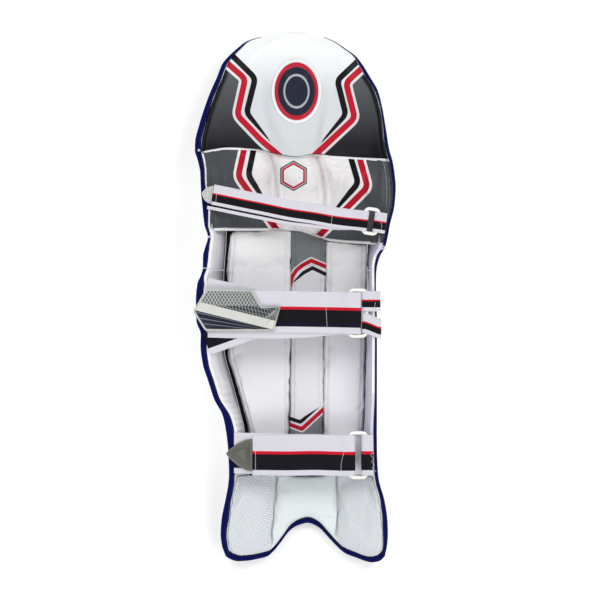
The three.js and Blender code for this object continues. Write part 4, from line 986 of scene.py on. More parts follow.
def navy_binding():
    place = np.arange(len(STATIONS)) * STATION_STEP
    waves = 0.35 * ripple(place, 0, 28, 31) + 0.2 * ripple(place, 0, 9, 32)
    rings = []
    for share, drop in TAPE_PROFILE:
        ring = binding_point(STATIONS, share, drop)
        ring[:, 2] -= np.maximum(waves, -0.6) * (drop < 8) + 0.6
        rings.append(ring)
    ring = np.stack(rings, axis=1)
    walls = tube_walls(*ring.shape[:2])[1]
    along = arc(ring, 0)
    cloth = np.stack([np.broadcast_to(along[:, 5:6], along.shape).ravel(), arc(ring, 1).ravel()], -1)
    piece = make_mesh("navy_binding", ring.reshape(-1, 3), walls, cloth, (TAPE,), fill=True)
    dress(piece, "edge_binding", slot="binding")


navy_binding()
seam = binding_point(STATIONS[::3], 0.80, 0.35)
tape_stitch = {"Pitch": 0.0042, "Length": 0.0030, "Thickness": 0.0007}
sewn = follow("binding_stitches", [seam], STITCH_RUN, BLUE_THREAD, **tape_stitch)

# %% [markdown]
# ## Printed stripes
#
# The thigh flap, the knee band and the shin strip share one print: a dark grey panel, a white
# line, a red stripe, a white line and a black stripe that tapers to a point. Each stripe
# follows a bent line. The distance from that line is stored on the mesh as a mark, and the
# shader turns the mark into crisp colour, with a slight step at each edge as welded film has.

# %% Lines of the stripes
HAT_RED = {
    LEFT: [(-105.0, 333.0), (-67.7, 300.0), (-78.7, 250.4), (-45.2, 215.1), (-21.8, 195.5), (-8, 184)],
    RIGHT: [(115.0, 335.9), (70.8, 294.6), (82.8, 246.5), (34.4, 201.4), (8, 177)],
}
HAT_BLACK = {
    LEFT: [(-95.0, 341.6), (-53.9, 300.7), (-65.9, 253.3), (-30.5, 210.6)],
    RIGHT: [(100.0, 336.8), (58.9, 297.9), (70.6, 251.0), (34.5, 209.8)],
}
KNEE_RED = {
    LEFT: [(-67.6, 214.3), (-69.9, 200.0), (-77.2, 165.7), (-63.7, 146.7), (-26.7, 96.0), (-14.9, 80.1)],
    RIGHT: [(86.3, 206.7), (90.2, 189.0), (100.2, 151.3), (71.2, 122.0), (38.3, 89.2), (24.5, 75.4)],
}
KNEE_BLACK = {
    LEFT: [(-54.3, 214.3), (-56.9, 199.3), (-63.4, 167.8), (-49.3, 145.1), (-30.8, 115.6)],
    RIGHT: [(73.6, 206.7), (77.9, 190.4), (87.5, 156.8), (62.0, 126.6), (44.6, 106.3)],
}
STRIPE = {"red": 4.1, "line": 3.6, "black": 4.0}
STRIPE_BEND = 7.0


def soft_line(corners):
    """The same open line with each bend turned by a small arc."""
    corners = np.asarray(corners, float)
    points = [corners[0]]
    for before, here, after in zip(corners, corners[1:], corners[2:]):
        near = here + (before - here) * min(0.45, STRIPE_BEND / np.linalg.norm(before - here))
        far = here + (after - here) * min(0.45, STRIPE_BEND / np.linalg.norm(after - here))
        points += corner_arc(near, here, far, 6)
    return [tuple(p) for p in points + [corners[-1]]]


def mark_stripes(piece, red, black, middle, taper):
    """red and black: lines for each side. taper: height over which the black stripe thins out."""
    ends = {side: line[-1][1] for side, line in black.items()}
    red = {side: soft_line(line) for side, line in red.items()}
    black = {side: soft_line(line) for side, line in black.items()}

    def lane(x, y, z):
        right = line_distance(x, y, red[RIGHT])
        left = -line_distance(x, y, red[LEFT])
        return np.where(x < middle, left, right)

    def ink(x, y, z):
        left, right = (abs(line_distance(x, y, black[side])) for side in (LEFT, RIGHT))
        away = np.where(x < middle, left, right)
        end = np.where(x < middle, ends[LEFT], ends[RIGHT])
        return STRIPE["black"] * np.clip((y - end) / taper, 0, 1) ** 0.7 - away

    mark(piece, "lane", lane)
    mark(piece, "ink", ink)


def stripe_colours(f, white, panel):
    """Colour and height of the print from the marks lane and ink."""
    lane, ink = f.mark("lane"), f.mark("ink")
    red = f.between(lane, -STRIPE["red"], STRIPE["red"])
    black = f.above(ink, 0.0)
    grey = 1 - f.above(lane, -STRIPE["red"] - STRIPE["line"])
    colour = f.mix(grey, white, panel)
    colour = f.mix(red, colour, RED)
    colour = f.mix(black * (1 - grey), colour, INK)
    return colour, (red + black + grey) * 0.35, grey


print("hat stripe corners:", len(HAT_RED[LEFT]))

# %% [markdown]
# ## Thigh flap lining
#
# The lining is one padded dome of coated leather. A raised middle carries the badge, and soft
# valleys run down beside it. The dark side panels are flatter, with a rolled seam just inside
# the navy tape. The white rim at the top is a leather roll.


# %% Height of the dome
def knee_end(side, at):
    return inset_x(side, at) - side * SEAM_GAP


def knee_share(x, at):
    return (x - knee_end(LEFT, at)) / (knee_end(RIGHT, at) - knee_end(LEFT, at))


def knee_line(line, x):
    at = line(np.zeros_like(x))
    for _ in range(4):
        at = line(np.clip(knee_share(x, at), 0, 1))
    return at


BADGE_X, BADGE_AT, BADGE_SIZE = 2.8, 0.8876, (62.0, 82.0)


def hat_dome(x, at):
    u = np.clip((x - inset_x(LEFT, at)) / (inset_x(RIGHT, at) - inset_x(LEFT, at)), 0, 1)
    over = 1 - np.abs(2 * u - 1) ** 2.4
    rise = ease((1 - at) / 0.09)
    fall = 1 - 0.35 * ease((HAT_LOW + 0.05 - at) / 0.05)
    return HAT_DOME * over * rise * fall


def hat_relief(x, y):
    """Soft forms on the dome: the raised middle, its two valleys and slight creases."""
    centre = BADGE_X
    half = 40 - 12 * ease((262 - y) / 60)
    middle = 4.0 * np.exp(-(((x - centre) / (half * 1.15)) ** 6))
    valley = -3.6 * bell(np.abs(x - centre) - half - 6, 9) * ease((322 - y) / 40)
    crease = -2.2 * bell((x - 40) - (y - 232) * 0.12, 5) * bell(y - 232, 26)
    crease += -2.0 * bell((x + 22) + (y - 214) * 0.5, 7) * bell(y - 214, 22)
    return middle + valley + crease + 0.45 * ripple(x, y, 70, 41) + 0.18 * ripple(x, y, 22, 42)


def hat_top(x, y):
    at = at_y(y)
    return shell_top(x, at) + RIM_LINING + hat_dome(x, at) + hat_relief(x, y) * rim_fade(x, y)


def side_gap(x, at):
    """Distance in from the nearer side of the lining."""
    return np.minimum(x - inset_x(LEFT, at), inset_x(RIGHT, at) - x)


def rim_fade(x, y):
    at = at_y(y)
    return ease(side_gap(x, at) / 14) * ease((1 - at) / 0.03)


# %% Thigh lining
def thigh_lining():
    rows = np.concatenate([np.linspace(0.774, 0.965, 150), np.linspace(0.9665, 1, 46)])
    u, v = grid(at_ends(150), rows)
    plain = mix(inset_x(LEFT, v), inset_x(RIGHT, v), u)
    lowest = knee_line(KNEE_TOP, plain) + 3 * SEAM_GAP / PAD_LENGTH
    at = np.where(v < 0.784, mix(lowest, 0.784, (v - 0.774) / 0.010), v)
    x = mix(inset_x(LEFT, at), inset_x(RIGHT, at), u)
    y = y_at(at)
    edge = side_gap(x, at)
    roll = -1.9 * bell(edge - 6.2, 1.3) + 0.9 * bell(edge - 3.2, 2.2)
    sides = ease((322 - y) / 30)
    turn = -2.4 * round_off(1 - edge / 3.0)
    over = -2.6 * round_off(1 - (PAD_LENGTH / 2 - y) / 4.0)
    top = stack(x, y, hat_top(x, y) + roll * sides + np.maximum(turn + over, -2.6))
    under = stack(x, y, shell_top(x, at) + SEAT_GAP)
    piece = slab("thigh_lining", top, under, hat_finish())
    mark_stripes(piece, HAT_RED, HAT_BLACK, BADGE_X, 46)
    mark(piece, "rim", lambda x, y, z: side_gap(x, at_y(y)))
    return dress(piece, "hat_lining", slot="lining", fill=0.8)


def hat_finish():
    f = Finish("printed_hat_leather", 0.42, coat=0.04, gloss=0.16)
    _, y, _ = f.place()
    # Painted shade: the grey panels darken from mid grey to near black towards the knee band, and the white
    # darkens downwards, as light falls from the top.
    fall = f.maths("DIVIDE", 330 - y, 120, clamp=True)
    panel = f.mix(fall, rgb("616466"), PANEL_PAINTED_SHADE)
    white = f.mix(f.maths("DIVIDE", 338 - y, 60, clamp=True), rgb("f3f5f6"), rgb("d3d7da"))
    # Painted shade along the side edges: the panels turn nearly black within about 6 mm of the rolled seam.
    edge = f.mark("rim")
    panel = f.mix(1 - f.above(edge, 5.6, 1.4), panel, rgb("121318"))
    colour, step, grey = stripe_colours(f, white, panel)
    pebble = f.noise(700, 4, 0.65)
    skin = f.shade(colour, clouds(f, 0.96) * (1 - grey * 0.25 + grey * pebble * 0.5))
    rough = 0.40 + grey * 0.06 + f.noise(35, 3) * 0.1
    return f.finish(skin, step + pebble * 0.10 + f.noise(55, 3) * 0.3, rough)


thigh_lining()

# %% White roll round the top of the flap
rim_at = np.concatenate([np.linspace(BINDING_TOP, 1.0, 30), np.linspace(1.0, BINDING_TOP, 30)])
rim_side = np.concatenate([np.full(30, LEFT), np.full(30, RIGHT)])
rim_x = np.where(rim_side < 0, edge_x(LEFT, rim_at) + 3.0, edge_x(RIGHT, rim_at) - 3.0)
rim_path = stack(rim_x, y_at(rim_at) - 3.0, rim_z(rim_at) - 2.4)
top_roll = follow("top_roll", [rim_path], PIPING, LEATHER, Radius=0.0026)

# %% [markdown]
# ## Badge
#
# A moulded oval sits on the dome, on a white padded collar. Real badges are soft plastic
# with a raised rim and a recessed field. This one is plain: a red rim, a dark field cut with a
# diamond knurl, and a smooth pale ring.


# %% A moulding built up from rings
def shrunk_rings(outline, rows):
    """rows: (share of the way to the middle, height)."""
    outline = np.asarray(outline, float)
    return [(mix(outline, outline.mean(axis=0), share), lift) for share, lift in rows]


def moulding(name, rings, seat, finish, sink, flat_top=False):
    """rings: (points, height) from the underside's rim inwards. sink: its base's depth in the seat."""
    layers = [stack(*flat.T, seat(*flat.T) + lift - sink) for flat, lift in rings]
    ids, faces = tube_walls(len(layers), len(layers[0]))
    points, top = np.concatenate(layers), ids[-1]
    faces.append(ids[0][::-1].tolist())
    if flat_top:
        faces.append(top.tolist())
    else:
        points = np.concatenate([points, layers[-1].mean(axis=0, keepdims=True)])
        faces += [(int(a), int(b), len(points) - 1) for a, b in zip(top, np.roll(top, -1))]
    return make_mesh(name, points, faces, finishes=(finish,), sharp=44)


# %% Badge finish and badge
def badge_finish():
    f = Finish("badge_plastic", 0.36, coat=0.12)
    x, y, _ = f.place()
    away_x, away_y = (x - BADGE_X) / (BADGE_SIZE[0] / 2), (y - y_at(BADGE_AT)) / (BADGE_SIZE[1] / 2)
    away = f.maths("SQRT", away_x * away_x + away_y * away_y)
    knurl = abs(f.sine((x + y * 0.75) * 1.9)) * abs(f.sine((x - y * 0.75) * 1.9))
    colour = f.mix(f.above(away, 0.97, 0.01), RED, WHITE)
    colour = f.mix(1 - f.above(away, 0.82, 0.01), colour, f.mix(knurl, rgb("14182c"), rgb("2a3048")))
    colour = f.mix(f.between(away, 0.50, 0.58, 0.012), colour, rgb("b9c0c6"))
    return f.finish(f.shade(colour, clouds(f, 0.95, 30)), knurl * 0.5 * (1 - f.above(away, 0.80, 0.02)))


def badge_outline(turn, out=0.0):
    """x and y of the badge's edge, or of a line at some distance outside it."""
    half_x, half_y = BADGE_SIZE[0] / 2 + out, BADGE_SIZE[1] / 2 + out
    return BADGE_X + half_x * np.cos(turn), y_at(BADGE_AT) + half_y * np.sin(turn)


turn = np.linspace(0, 2 * math.pi, 96, endpoint=False)
oval = np.stack(badge_outline(turn), -1)
BADGE_STEPS = [(0.0, 0.0), (0.0, 1.9), (0.01, 2.9), (0.03, 3.7), (0.07, 4.2), (0.12, 4.1), (0.155, 3.6)]
BADGE_STEPS += [(0.18, 2.7), (0.20, 2.4), (0.3, 2.6), (0.40, 2.75), (0.42, 3.2), (0.46, 3.4), (0.50, 3.2)]
BADGE_STEPS += [(0.52, 2.8), (0.9, 3.0)]
BADGE_SINK, COLLAR_GAP = 0.4, 1.6
badge = moulding("oval_badge", shrunk_rings(oval, BADGE_STEPS), hat_top, badge_finish(), BADGE_SINK)
dress(badge, "badge", slot="badge")

beside = badge_outline(np.append(turn, turn[0]), COLLAR_GAP)
collar = stack(*beside, hat_top(*beside) + 0.2)
white_collar = follow("badge_collar", [collar], PIPING, LEATHER, Radius=0.0021)
print("badge from x", round(float(oval[:, 0].min()), 1), "to", round(float(oval[:, 0].max()), 1))

# %% [markdown]
# ## Cushions
#
# Foam cushions swell against their seams. Each one starts here as a closed slab in the space
# of its CAD solid, a little too small. It is remeshed evenly, and Blender's cloth simulation
# blows it up while its underside, its edge and its sewn grooves stay pinned. That gives the
# tight crowns and the small creases beside the seams. All the cushions swell in the same run.

# %% Blow up padded covers
CLOTH_FRAMES, CLOTH_QUALITY, PRESSURE, SHRINK = 20, 4, 4.0, -0.025
VOXEL = 0.0030


def work_in(piece):
    """Works the modifiers into the mesh and clears them."""
    mesh = settled(piece)
    piece.modifiers.clear()
    piece.data = mesh


def even_mesh(piece):
    """The same closed shape with even faces, as one voxel remesh makes it."""
    remesh = piece.modifiers.new("even", "REMESH")
    remesh.mode = "VOXEL"
    remesh.voxel_size = VOXEL
    work_in(piece)


def points_of(mesh):
    spots = np.empty(len(mesh.vertices) * 3)
    mesh.vertices.foreach_get("co", spots)
    return spots.reshape(-1, 3) / MM


def put_points(mesh, spots):
    mesh.vertices.foreach_set("co", (spots * MM).ravel())
    mesh.update()


def plump(pieces, pinned, caps):
    """pinned: for each piece, a test of x, y, z in mm. caps: how far a point may move, in mm."""
    starts = []
    for piece, held, cap in zip(pieces, pinned, caps):
        even_mesh(piece)
        spots = points_of(piece.data)
        starts.append(spots)
        sewn = piece.vertex_groups.new(name="sewn")
        sewn.add(np.flatnonzero(held(*spots.T)).tolist(), 1.0, "REPLACE")
        cloth = piece.modifiers.new("swell", "CLOTH")
        cloth.settings.quality = CLOTH_QUALITY
        cloth.settings.use_pressure = True
        cloth.settings.uniform_pressure_force = PRESSURE
        cloth.settings.vertex_group_mass = "sewn"
        cloth.settings.shrink_min = SHRINK
        cloth.settings.effector_weights.gravity = 0.0
        cloth.collision_settings.use_collision = False
    for step in range(1, CLOTH_FRAMES + 1):
        bpy.context.scene.frame_set(step)
    for piece, start, cap in zip(pieces, starts, caps):
        seen = bpy.context.evaluated_depsgraph_get()
        spots = points_of(piece.evaluated_get(seen).data)
        move = spots - start
        far = np.linalg.norm(move, axis=1, keepdims=True)
        put_points(piece.data, start + move * np.minimum(1, cap / np.maximum(far, 1e-6)))
        piece.modifiers.clear()
        piece.vertex_groups.clear()
        finer = piece.modifiers.new("finer", "SUBSURF")
        finer.levels = finer.render_levels = 1
        work_in(piece)
        shade_smooth(piece.data)
    bpy.context.scene.frame_set(1)


def carve(piece, depth, seat):
    """Moves the upper skin by depth(x, y) and keeps every point above the seat."""
    spots = points_of(piece.data)
    x, y, z = spots.T
    floor = seat(x, y)
    upper = ease((z - floor - 2.0) / 4.0)
    spots[:, 2] = np.maximum(z + depth(x, y) * upper, floor)
    put_points(piece.data, spots)


def press(piece, left_by, right_by):
    """Moves the two long edges of a cushion outwards by some millimetres."""
    left_of, right_of = LONG_PADS[piece.name][:2]
    spots = points_of(piece.data)
    at = at_y(spots[:, 1])
    left, right = left_of(at), right_of(at)
    spots[:, 0] += mix(-left_by, right_by, np.clip((spots[:, 0] - left) / (right - left), 0, 1))
    put_points(piece.data, spots)


print("cushions swell for", CLOTH_FRAMES, "frames")

# %% [markdown]
# ## Knee band
#
# The band hangs between the wings like a hammock: a wide white pad with two sewn valleys,
# printed end panels and white piping along both long edges.

# %% Seat and thickness of the knee band
KNEE_GROOVES, GROOVE_BOWS = (0.368, 0.615), (0.012, 0.022)
BAND_STEP = 1.2


def wing_inner_z(side, x, at):
    t = np.clip((x - turnover_x(side, at)) / (foot_x(side, at) - turnover_x(side, at)), 0, 1)
    return mix(rim_z(at), front_z(at) + EDGE_CURL + SHELL_THICKNESS, t)


def knee_seat(x, at):
    spine = spine_x(at)
    end = np.where(x < spine, knee_end(LEFT, at), knee_end(RIGHT, at))
    bottom = front_z(at) + SHELL_THICKNESS
    bowl = mix(bottom, rim_z(at), np.clip((x - spine) / (end - spine), 0, 1) ** 3.2)
    floor = bottom + curl(reach_of(x, at))
    wall = np.where(x < spine, wing_inner_z(LEFT, x, at), wing_inner_z(RIGHT, x, at))
    wall = np.where(reach_of(x, at) > 1, wall, floor)
    return np.maximum(np.maximum(bowl, floor), wall) + 1.5 * SEAT_GAP


def knee_place(u, v):
    at = mix(KNEE_LOW(u), KNEE_TOP(u), v)
    return mix(knee_end(LEFT, at), knee_end(RIGHT, at), u), at


def from_grooves(u, v):
    """Distances from the two sewn grooves, which bow to the right, as shares of the width."""
    return [u - g - bow * np.sin(math.pi * np.clip(v, 0, 1)) for g, bow in zip(KNEE_GROOVES, GROOVE_BOWS)]


def knee_thickness(u, v):
    lobes = 1 - 0.58 * sum(bell(away, 0.035) for away in from_grooves(u, v))
    crown = mix(0.55, 1, np.minimum(1, 2.2 * np.sin(math.pi * v)))
    return KNEE_EDGE + KNEE_CUSHION * (1 - np.abs(2 * u - 1) ** 5) * crown * lobes


def knee_slab():
    u, v = grid(at_ends(110), at_ends(44))
    x, at = knee_place(u, v)
    seat = knee_seat(x, at)
    top = stack(x, y_at(at), seat + np.maximum(knee_thickness(u, v) - BAND_STEP, 2.4))
    return slab("knee_band", top, stack(x, y_at(at), seat), LEATHER)


def knee_uv(x, y):
    at = at_y(y)
    u = np.clip(knee_share(x, at), 0, 1)
    return u, (at - KNEE_LOW(u)) / (KNEE_TOP(u) - KNEE_LOW(u))


def knee_sewn(x, y, z):
    u, v = knee_uv(x, y)
    groove = np.min(np.abs(from_grooves(u, v)), axis=0) < 0.010
    edge = (u < 0.03) | (u > 0.97) | (v < 0.05) | (v > 0.95)
    return edge | groove | (z < knee_seat(x, at_y(y)) + 2.0)


def knee_creases(x, y):
    u, v = knee_uv(x, y)
    lines = from_grooves(u, v)
    groove = sum(-4.0 * bell(away, 0.009) for away in lines)
    beside = sum(-bell(away - s * 0.03, 0.008) for away in lines for s in (-1, 1))
    beside = beside * np.sin(math.pi * np.clip(v, 0, 1)) ** 2
    fold = 1.5 * bell(u - 0.055, 0.016) - 1.3 * bell(u - 0.095, 0.014)
    fold += 1.5 * bell(u - 0.95, 0.016) - 1.3 * bell(u - 0.915, 0.014)
    tucks = np.sin(x * 2 * math.pi / 8.0 + 2 * ripple(x, y, 40, 53)) * np.exp(-(v / 0.10)) * 0.9
    tucks = tucks * bell(u - 0.5, 0.16)
    slack = 0.5 * ripple(x, y, 34, 51) + 0.25 * ripple(x, y, 13, 52)
    return groove + beside + fold + tucks + slack


print("knee band edge at the middle, mm:", round(float(knee_thickness(0.5, 0.0)), 1))

# %% [markdown]
# ## Shin bolsters and the middle strip
#
# Two long mesh cushions lie beside a narrower leather strip. Their inner sides meet in
# straight seams, their outer top corners are rounded, and a sewn line runs round each
# mesh face a few millimetres in from its edge.


# %% Slabs for the long cushions
CORNER_HEIGHT = 9


def shin_slab(name, left_of, right_of, edge, corners, step):
    u, v = grid(at_ends(50), at_ends(110))
    low = INSTEP_TOP + SEAM_SHARE
    guess = mix(left_of(0.6), right_of(0.6), u)
    at = mix(low, knee_line(KNEE_LOW, guess) - 2 * SEAM_SHARE, v)
    top_at = float(KNEE_LOW(np.array(0.5)))
    cut = round_off((at - top_at) * PAD_LENGTH / CORNER_HEIGHT + 1)
    left, right = left_of(at) + corners[0] * cut, right_of(at) - corners[1] * cut
    x = mix(left, right, u)
    across = (1 - np.abs(2 * u - 1) ** 5) ** 0.5
    ends = (1 - np.abs(2 * v - 1) ** 24) ** 0.5
    seat = inner_z(x, at) + SEAT_GAP
    lift = mix(edge, BOLSTER_THICKNESS, across * ends) - step * across * ends
    return slab(name, stack(x, y_at(at), seat + lift), stack(x, y_at(at), seat), MESH)


def strip_x(side, at):
    return STRIP_EDGES[side](at) * PAD_WIDTH


def bolster_outer(side, at):
    return foot_x(side, at) - side * 0.010 * PAD_WIDTH


def left_of_strip(at):
    return strip_x(LEFT, at) - SEAM_GAP


def right_of_strip(at):
    return strip_x(RIGHT, at) + SEAM_GAP


LONG_PADS = {
    "bolster_left": (lambda at: bolster_outer(LEFT, at), left_of_strip, 20.0, (9, 1), 2.0),
    "middle_strip": (lambda at: strip_x(LEFT, at), lambda at: strip_x(RIGHT, at), 22.0, (0, 0), 1.2),
    "bolster_right": (right_of_strip, lambda at: bolster_outer(RIGHT, at), 19.0, (1, 5), 2.0),
}


def long_seat(x, y):
    return inner_z(x, at_y(y)) + SEAT_GAP


def long_sewn(x, y, z):
    return z < long_seat(x, y) + 5.0


def edge_gap(name, x, y):
    """Distance in from the nearer long edge of a cushion."""
    left_of, right_of = LONG_PADS[name][:2]
    return np.minimum(x - left_of(at_y(y)), right_of(at_y(y)) - x)


def long_seam(name):
    def depth(x, y):
        gap = edge_gap(name, x, y)
        line = -1.7 * bell(gap - 5.5, 1.1)
        return line + 0.3 * ripple(x, y, 60, len(name)) + 0.12 * ripple(x, y, 18, 61)

    return depth


print("long cushions:", list(LONG_PADS))

# %% [markdown]
# ## Instep cushions
#
# Below the ankle seam the cushions spread over the foot: a quilted mesh pad on each side of a
# smooth tongue. They are thinner than the bolsters and follow the flare of the instep.


# %% Slabs for the instep cushions
def instep_seam(side, v):
    return mix(0.300, 0.285, v) if side == LEFT else mix(0.730, 0.697, v)


SEAM_ACROSS = SEAM_GAP / PAD_WIDTH
INSTEP_PADS = {
    "instep_left": (lambda v: 0 * v + 0.004, lambda v: instep_seam(LEFT, v) - SEAM_ACROSS),
    "tongue": (lambda v: instep_seam(LEFT, v) + SEAM_ACROSS, lambda v: instep_seam(RIGHT, v) - SEAM_ACROSS),
    "instep_right": (lambda v: instep_seam(RIGHT, v) + SEAM_ACROSS, lambda v: 0 * v + 0.996),
}


def instep_slab(name, start, end, step, finish):
    share, v = grid(at_ends(64), at_ends(56))
    x, y, at = instep_place(mix(start(v), end(v), share), v)
    across = (1 - np.abs(2 * share - 1) ** 4) ** 0.5
    along = np.where(v < 0.5, 1, (1 - np.abs(2 * v - 1) ** 8) ** 0.5)
    seat = shell_top(x, at) + SEAT_GAP
    lift = mix(RIM_LINING, INSTEP_CUSHION - step, across * along)
    return slab(name, stack(x, y, seat + lift - SEAT_GAP), stack(x, y, seat), finish)


def instep_seat(x, y):
    return shell_top(x, np.maximum(at_y(y), EAR_CORNER + LOWER_BAND)) + SEAT_GAP


def instep_sewn(x, y, z):
    return z < instep_seat(x, y) + 3.2


def instep_waves(x, y):
    return 0.55 * ripple(x, y, 48, 71) + 0.2 * ripple(x, y, 17, 72)


# %% Swell all the cushions together
BAND_SWELL, LONG_SWELLS, INSTEP_SWELLS = 4.5, [3.2, 2.0, 3.2], [3.0, 2.0, 3.0]
EDGE_SHIFTS = ((-2.6, 0.8), (0.8, 0.8), (0.8, 1.8))
knee_band = knee_slab()
long_pads = [shin_slab(name, *sizes) for name, sizes in LONG_PADS.items()]
instep_pads = [
    instep_slab(name, *seams, *((1.0, PEARL_LEATHER) if name == "tongue" else (2.0, SPACER)))
    for name, seams in INSTEP_PADS.items()
]
plump(
    [knee_band, *long_pads, *instep_pads],
    [knee_sewn] + [long_sewn] * 3 + [instep_sewn] * 3,
    [BAND_SWELL, *LONG_SWELLS, *INSTEP_SWELLS],
)
carve(knee_band, knee_creases, lambda x, y: knee_seat(x, at_y(y)))
for pad in long_pads:
    carve(pad, long_seam(pad.name), long_seat)
for pad, sides in zip(long_pads, EDGE_SHIFTS):
    press(pad, *sides)
for pad in instep_pads:
    carve(pad, instep_waves, instep_seat)
print("cushion faces:", {pad.name: len(pad.data.polygons) for pad in [knee_band, *long_pads, *instep_pads]})

# %% [markdown]
# ## Prints on the cushions
#
# The knee band repeats the stripes of the thigh flap round a small plain hexagon. The strip
# carries a chevron near each end, grey beyond the chevrons and white between them.


# %% Finish of the knee band
def knee_finish():
    f = Finish("printed_knee_leather", 0.42, coat=0.03, gloss=0.16)
    colour, step, grey = stripe_colours(f, rgb("f0eeef"), rgb("4c5054"))
    crest = f.mark("crest")
    colour = f.mix(f.between(crest, 16.4, 18.4), colour, rgb("4c4f54"))
    colour = f.mix(f.between(crest, 13.2, 15.8), colour, RED)
    weft = f.noise(900, 3, 0.6)
    # The valley mark darkens the white leather in the sewn grooves: painted shade.
    skin = f.shade(colour, clouds(f, 0.96) * (0.97 + 0.06 * weft) * (1 - f.mark("valley") * 0.22))
    return f.finish(skin, step + weft * 0.12 + f.noise(60, 3) * 0.3, 0.42 + grey * 0.14)


CREST_MIDDLE = (-1.3, 167.0)


def crest(x, y, z):
    """Distance from the middle of the hexagon to the side nearest the point."""
    dx, dy = np.abs(x - CREST_MIDDLE[0]), np.abs(y - CREST_MIDDLE[1])
    return np.maximum(dx, 0.5 * dx + 0.866 * dy)


def valley(x, y, z):
    """How deep a point lies in a sewn groove, for the painted shade that darkens the white leather there.
    """
    lines = from_grooves(*knee_uv(x, y))
    return sum(bell(away, 0.013) * 0.7 + bell(away, 0.004) for away in lines)


def put_finish(piece, finish):
    piece.data.materials.clear()
    piece.data.materials.append(finish)


put_finish(knee_band, knee_finish())
mark_stripes(knee_band, KNEE_RED, KNEE_BLACK, 5.0, 40)
mark(knee_band, "crest", crest)
mark(knee_band, "valley", valley)
dress(knee_band, "knee_cushion", slot="knee", fill=0.75)

# %% Finish of the middle strip
UPPER_RED = [(-5.8, 17.0), (-3.2, 28.5), (2.7, 37.2), (11.1, 44.0), (23.1, 50.6), (42.6, 42.4), (50, 39.4)]
UPPER_BLACK = [(-1.5, 21.0), (11.1, 33.0), (24.7, 40.4), (42.6, 31.9), (50, 28.6)]
LOWER_RED = [(-15.7, -171.6), (-5.6, -175.2), (10.2, -180.9), (39.8, -153.9), (48.8, -145.8)]
LOWER_BLACK = [(-15.7, -163.8), (-5.6, -166.8), (8.0, -171.3), (36.6, -149.1)]


def strip_lane(x, y, z):
    """Distance from the red chevrons, positive towards the middle of the strip."""
    return np.where(y > -60, line_distance(x, y, UPPER_RED), -line_distance(x, y, LOWER_RED))


def strip_ink(x, y, z):
    upper = 2.5 * np.clip((x + 6) / 18, 0.25, 1) - np.abs(line_distance(x, y, UPPER_BLACK))
    lower = 2.5 * np.clip((37 - x) / 24, 0.1, 1) - np.abs(line_distance(x, y, LOWER_BLACK))
    return np.where(y > -60, upper, lower)


def strip_finish():
    f = Finish("printed_strip_leather", 0.44, coat=0.03, gloss=0.16)
    lane, ink = f.mark("lane"), f.mark("ink")
    red, black = f.between(lane, -2.7, 2.7), f.above(ink)
    grey = 1 - f.above(lane, -4.7)
    colour = f.mix(grey, rgb("e0dfe3"), rgb("747a7c"))
    colour = f.mix(red, colour, RED)
    colour = f.mix(black * (1 - grey), colour, INK)
    weft = f.noise(900, 3, 0.6)
    skin = f.shade(colour, clouds(f, 0.96) * (0.97 + 0.06 * weft))
    return f.finish(skin, (red + black + grey) * 0.3 + weft * 0.12 + f.noise(70, 3) * 0.25)


middle_strip = long_pads[1]
put_finish(middle_strip, strip_finish())
mark(middle_strip, "lane", strip_lane)
mark(middle_strip, "ink", strip_ink)
dress(middle_strip, "shin_strip", slot="knee", fill=0.8)
dress(long_pads[0], "shin_bolster_left", slot="mesh_fabric", fill=0.85)
dress(long_pads[2], "shin_bolster_right", slot="mesh_fabric", fill=0.85)
dress(instep_pads[0], "instep_pad_left", slot="spacer_mesh", fill=0.7)
dress(instep_pads[1], "instep_tongue", slot="spacer_mesh", fill=0.7)
dress(instep_pads[2], "instep_pad_right", slot="spacer_mesh", fill=0.7)

# %% [markdown]
# ## Piping on the knee band
#
# The piping must lie on the swollen pad, whose height no formula gives any more. `Skin` drops
# points onto finished meshes from above, and so finds the height under each point.

# %% Drop points onto finished pieces
from mathutils.bvhtree import BVHTree


class Skin:
    def __init__(self, *pieces):
        self.trees = []
        for piece in pieces:
            spots = [tuple(v.co) for v in piece.data.vertices]
            self.trees.append(BVHTree.FromPolygons(spots, [tuple(f.vertices) for f in piece.data.polygons]))

    def height(self, x, y, empty=0.0):
        """Height of the uppermost skin at a point, all in millimetres."""
        start, found = Vector((x * MM, y * MM, 1.0)), []
        for tree in self.trees:
            hit = tree.ray_cast(start, Vector((0, 0, -1)))[0]
            found += [hit.z / MM] if hit else []
        return max(found, default=empty)

    def lay(self, path, lift=0.0, smooth_over=2):
        """Heights for a path of x and y, evened out over a few neighbours."""
        flat = np.asarray(path, float)
        tall = np.array([self.height(x, y, np.nan) for x, y in flat[:, :2]])
        known = ~np.isnan(tall)
        tall = np.interp(np.arange(len(tall)), np.flatnonzero(known), tall[known])
        kernel = np.ones(2 * smooth_over + 1) / (2 * smooth_over + 1)
        tall = np.convolve(np.pad(tall, smooth_over, mode="edge"), kernel, mode="valid")
        return stack(flat[:, 0], flat[:, 1], tall + lift)


KNEE_SKIN = Skin(knee_band)
u = np.linspace(0.012, 0.988, 160)
pipings = []
for share, lift in ((0.995, -0.6), (0.012, -0.3)):
    x, at = knee_place(u, share + 0 * u)
    bare = KNEE_SKIN.lay(np.stack([x, y_at(at)], -1), lift, 3)
    pipings.append(bare)
knee_piping = follow("knee_piping", pipings, PIPING, LEATHER, Radius=0.0022)


def along_end(share, lift):
    v = np.linspace(0.02, 0.98, 90)
    x, at = knee_place(share + 0 * v, v)
    return KNEE_SKIN.lay(np.stack([x, y_at(at)], -1), lift, 4)


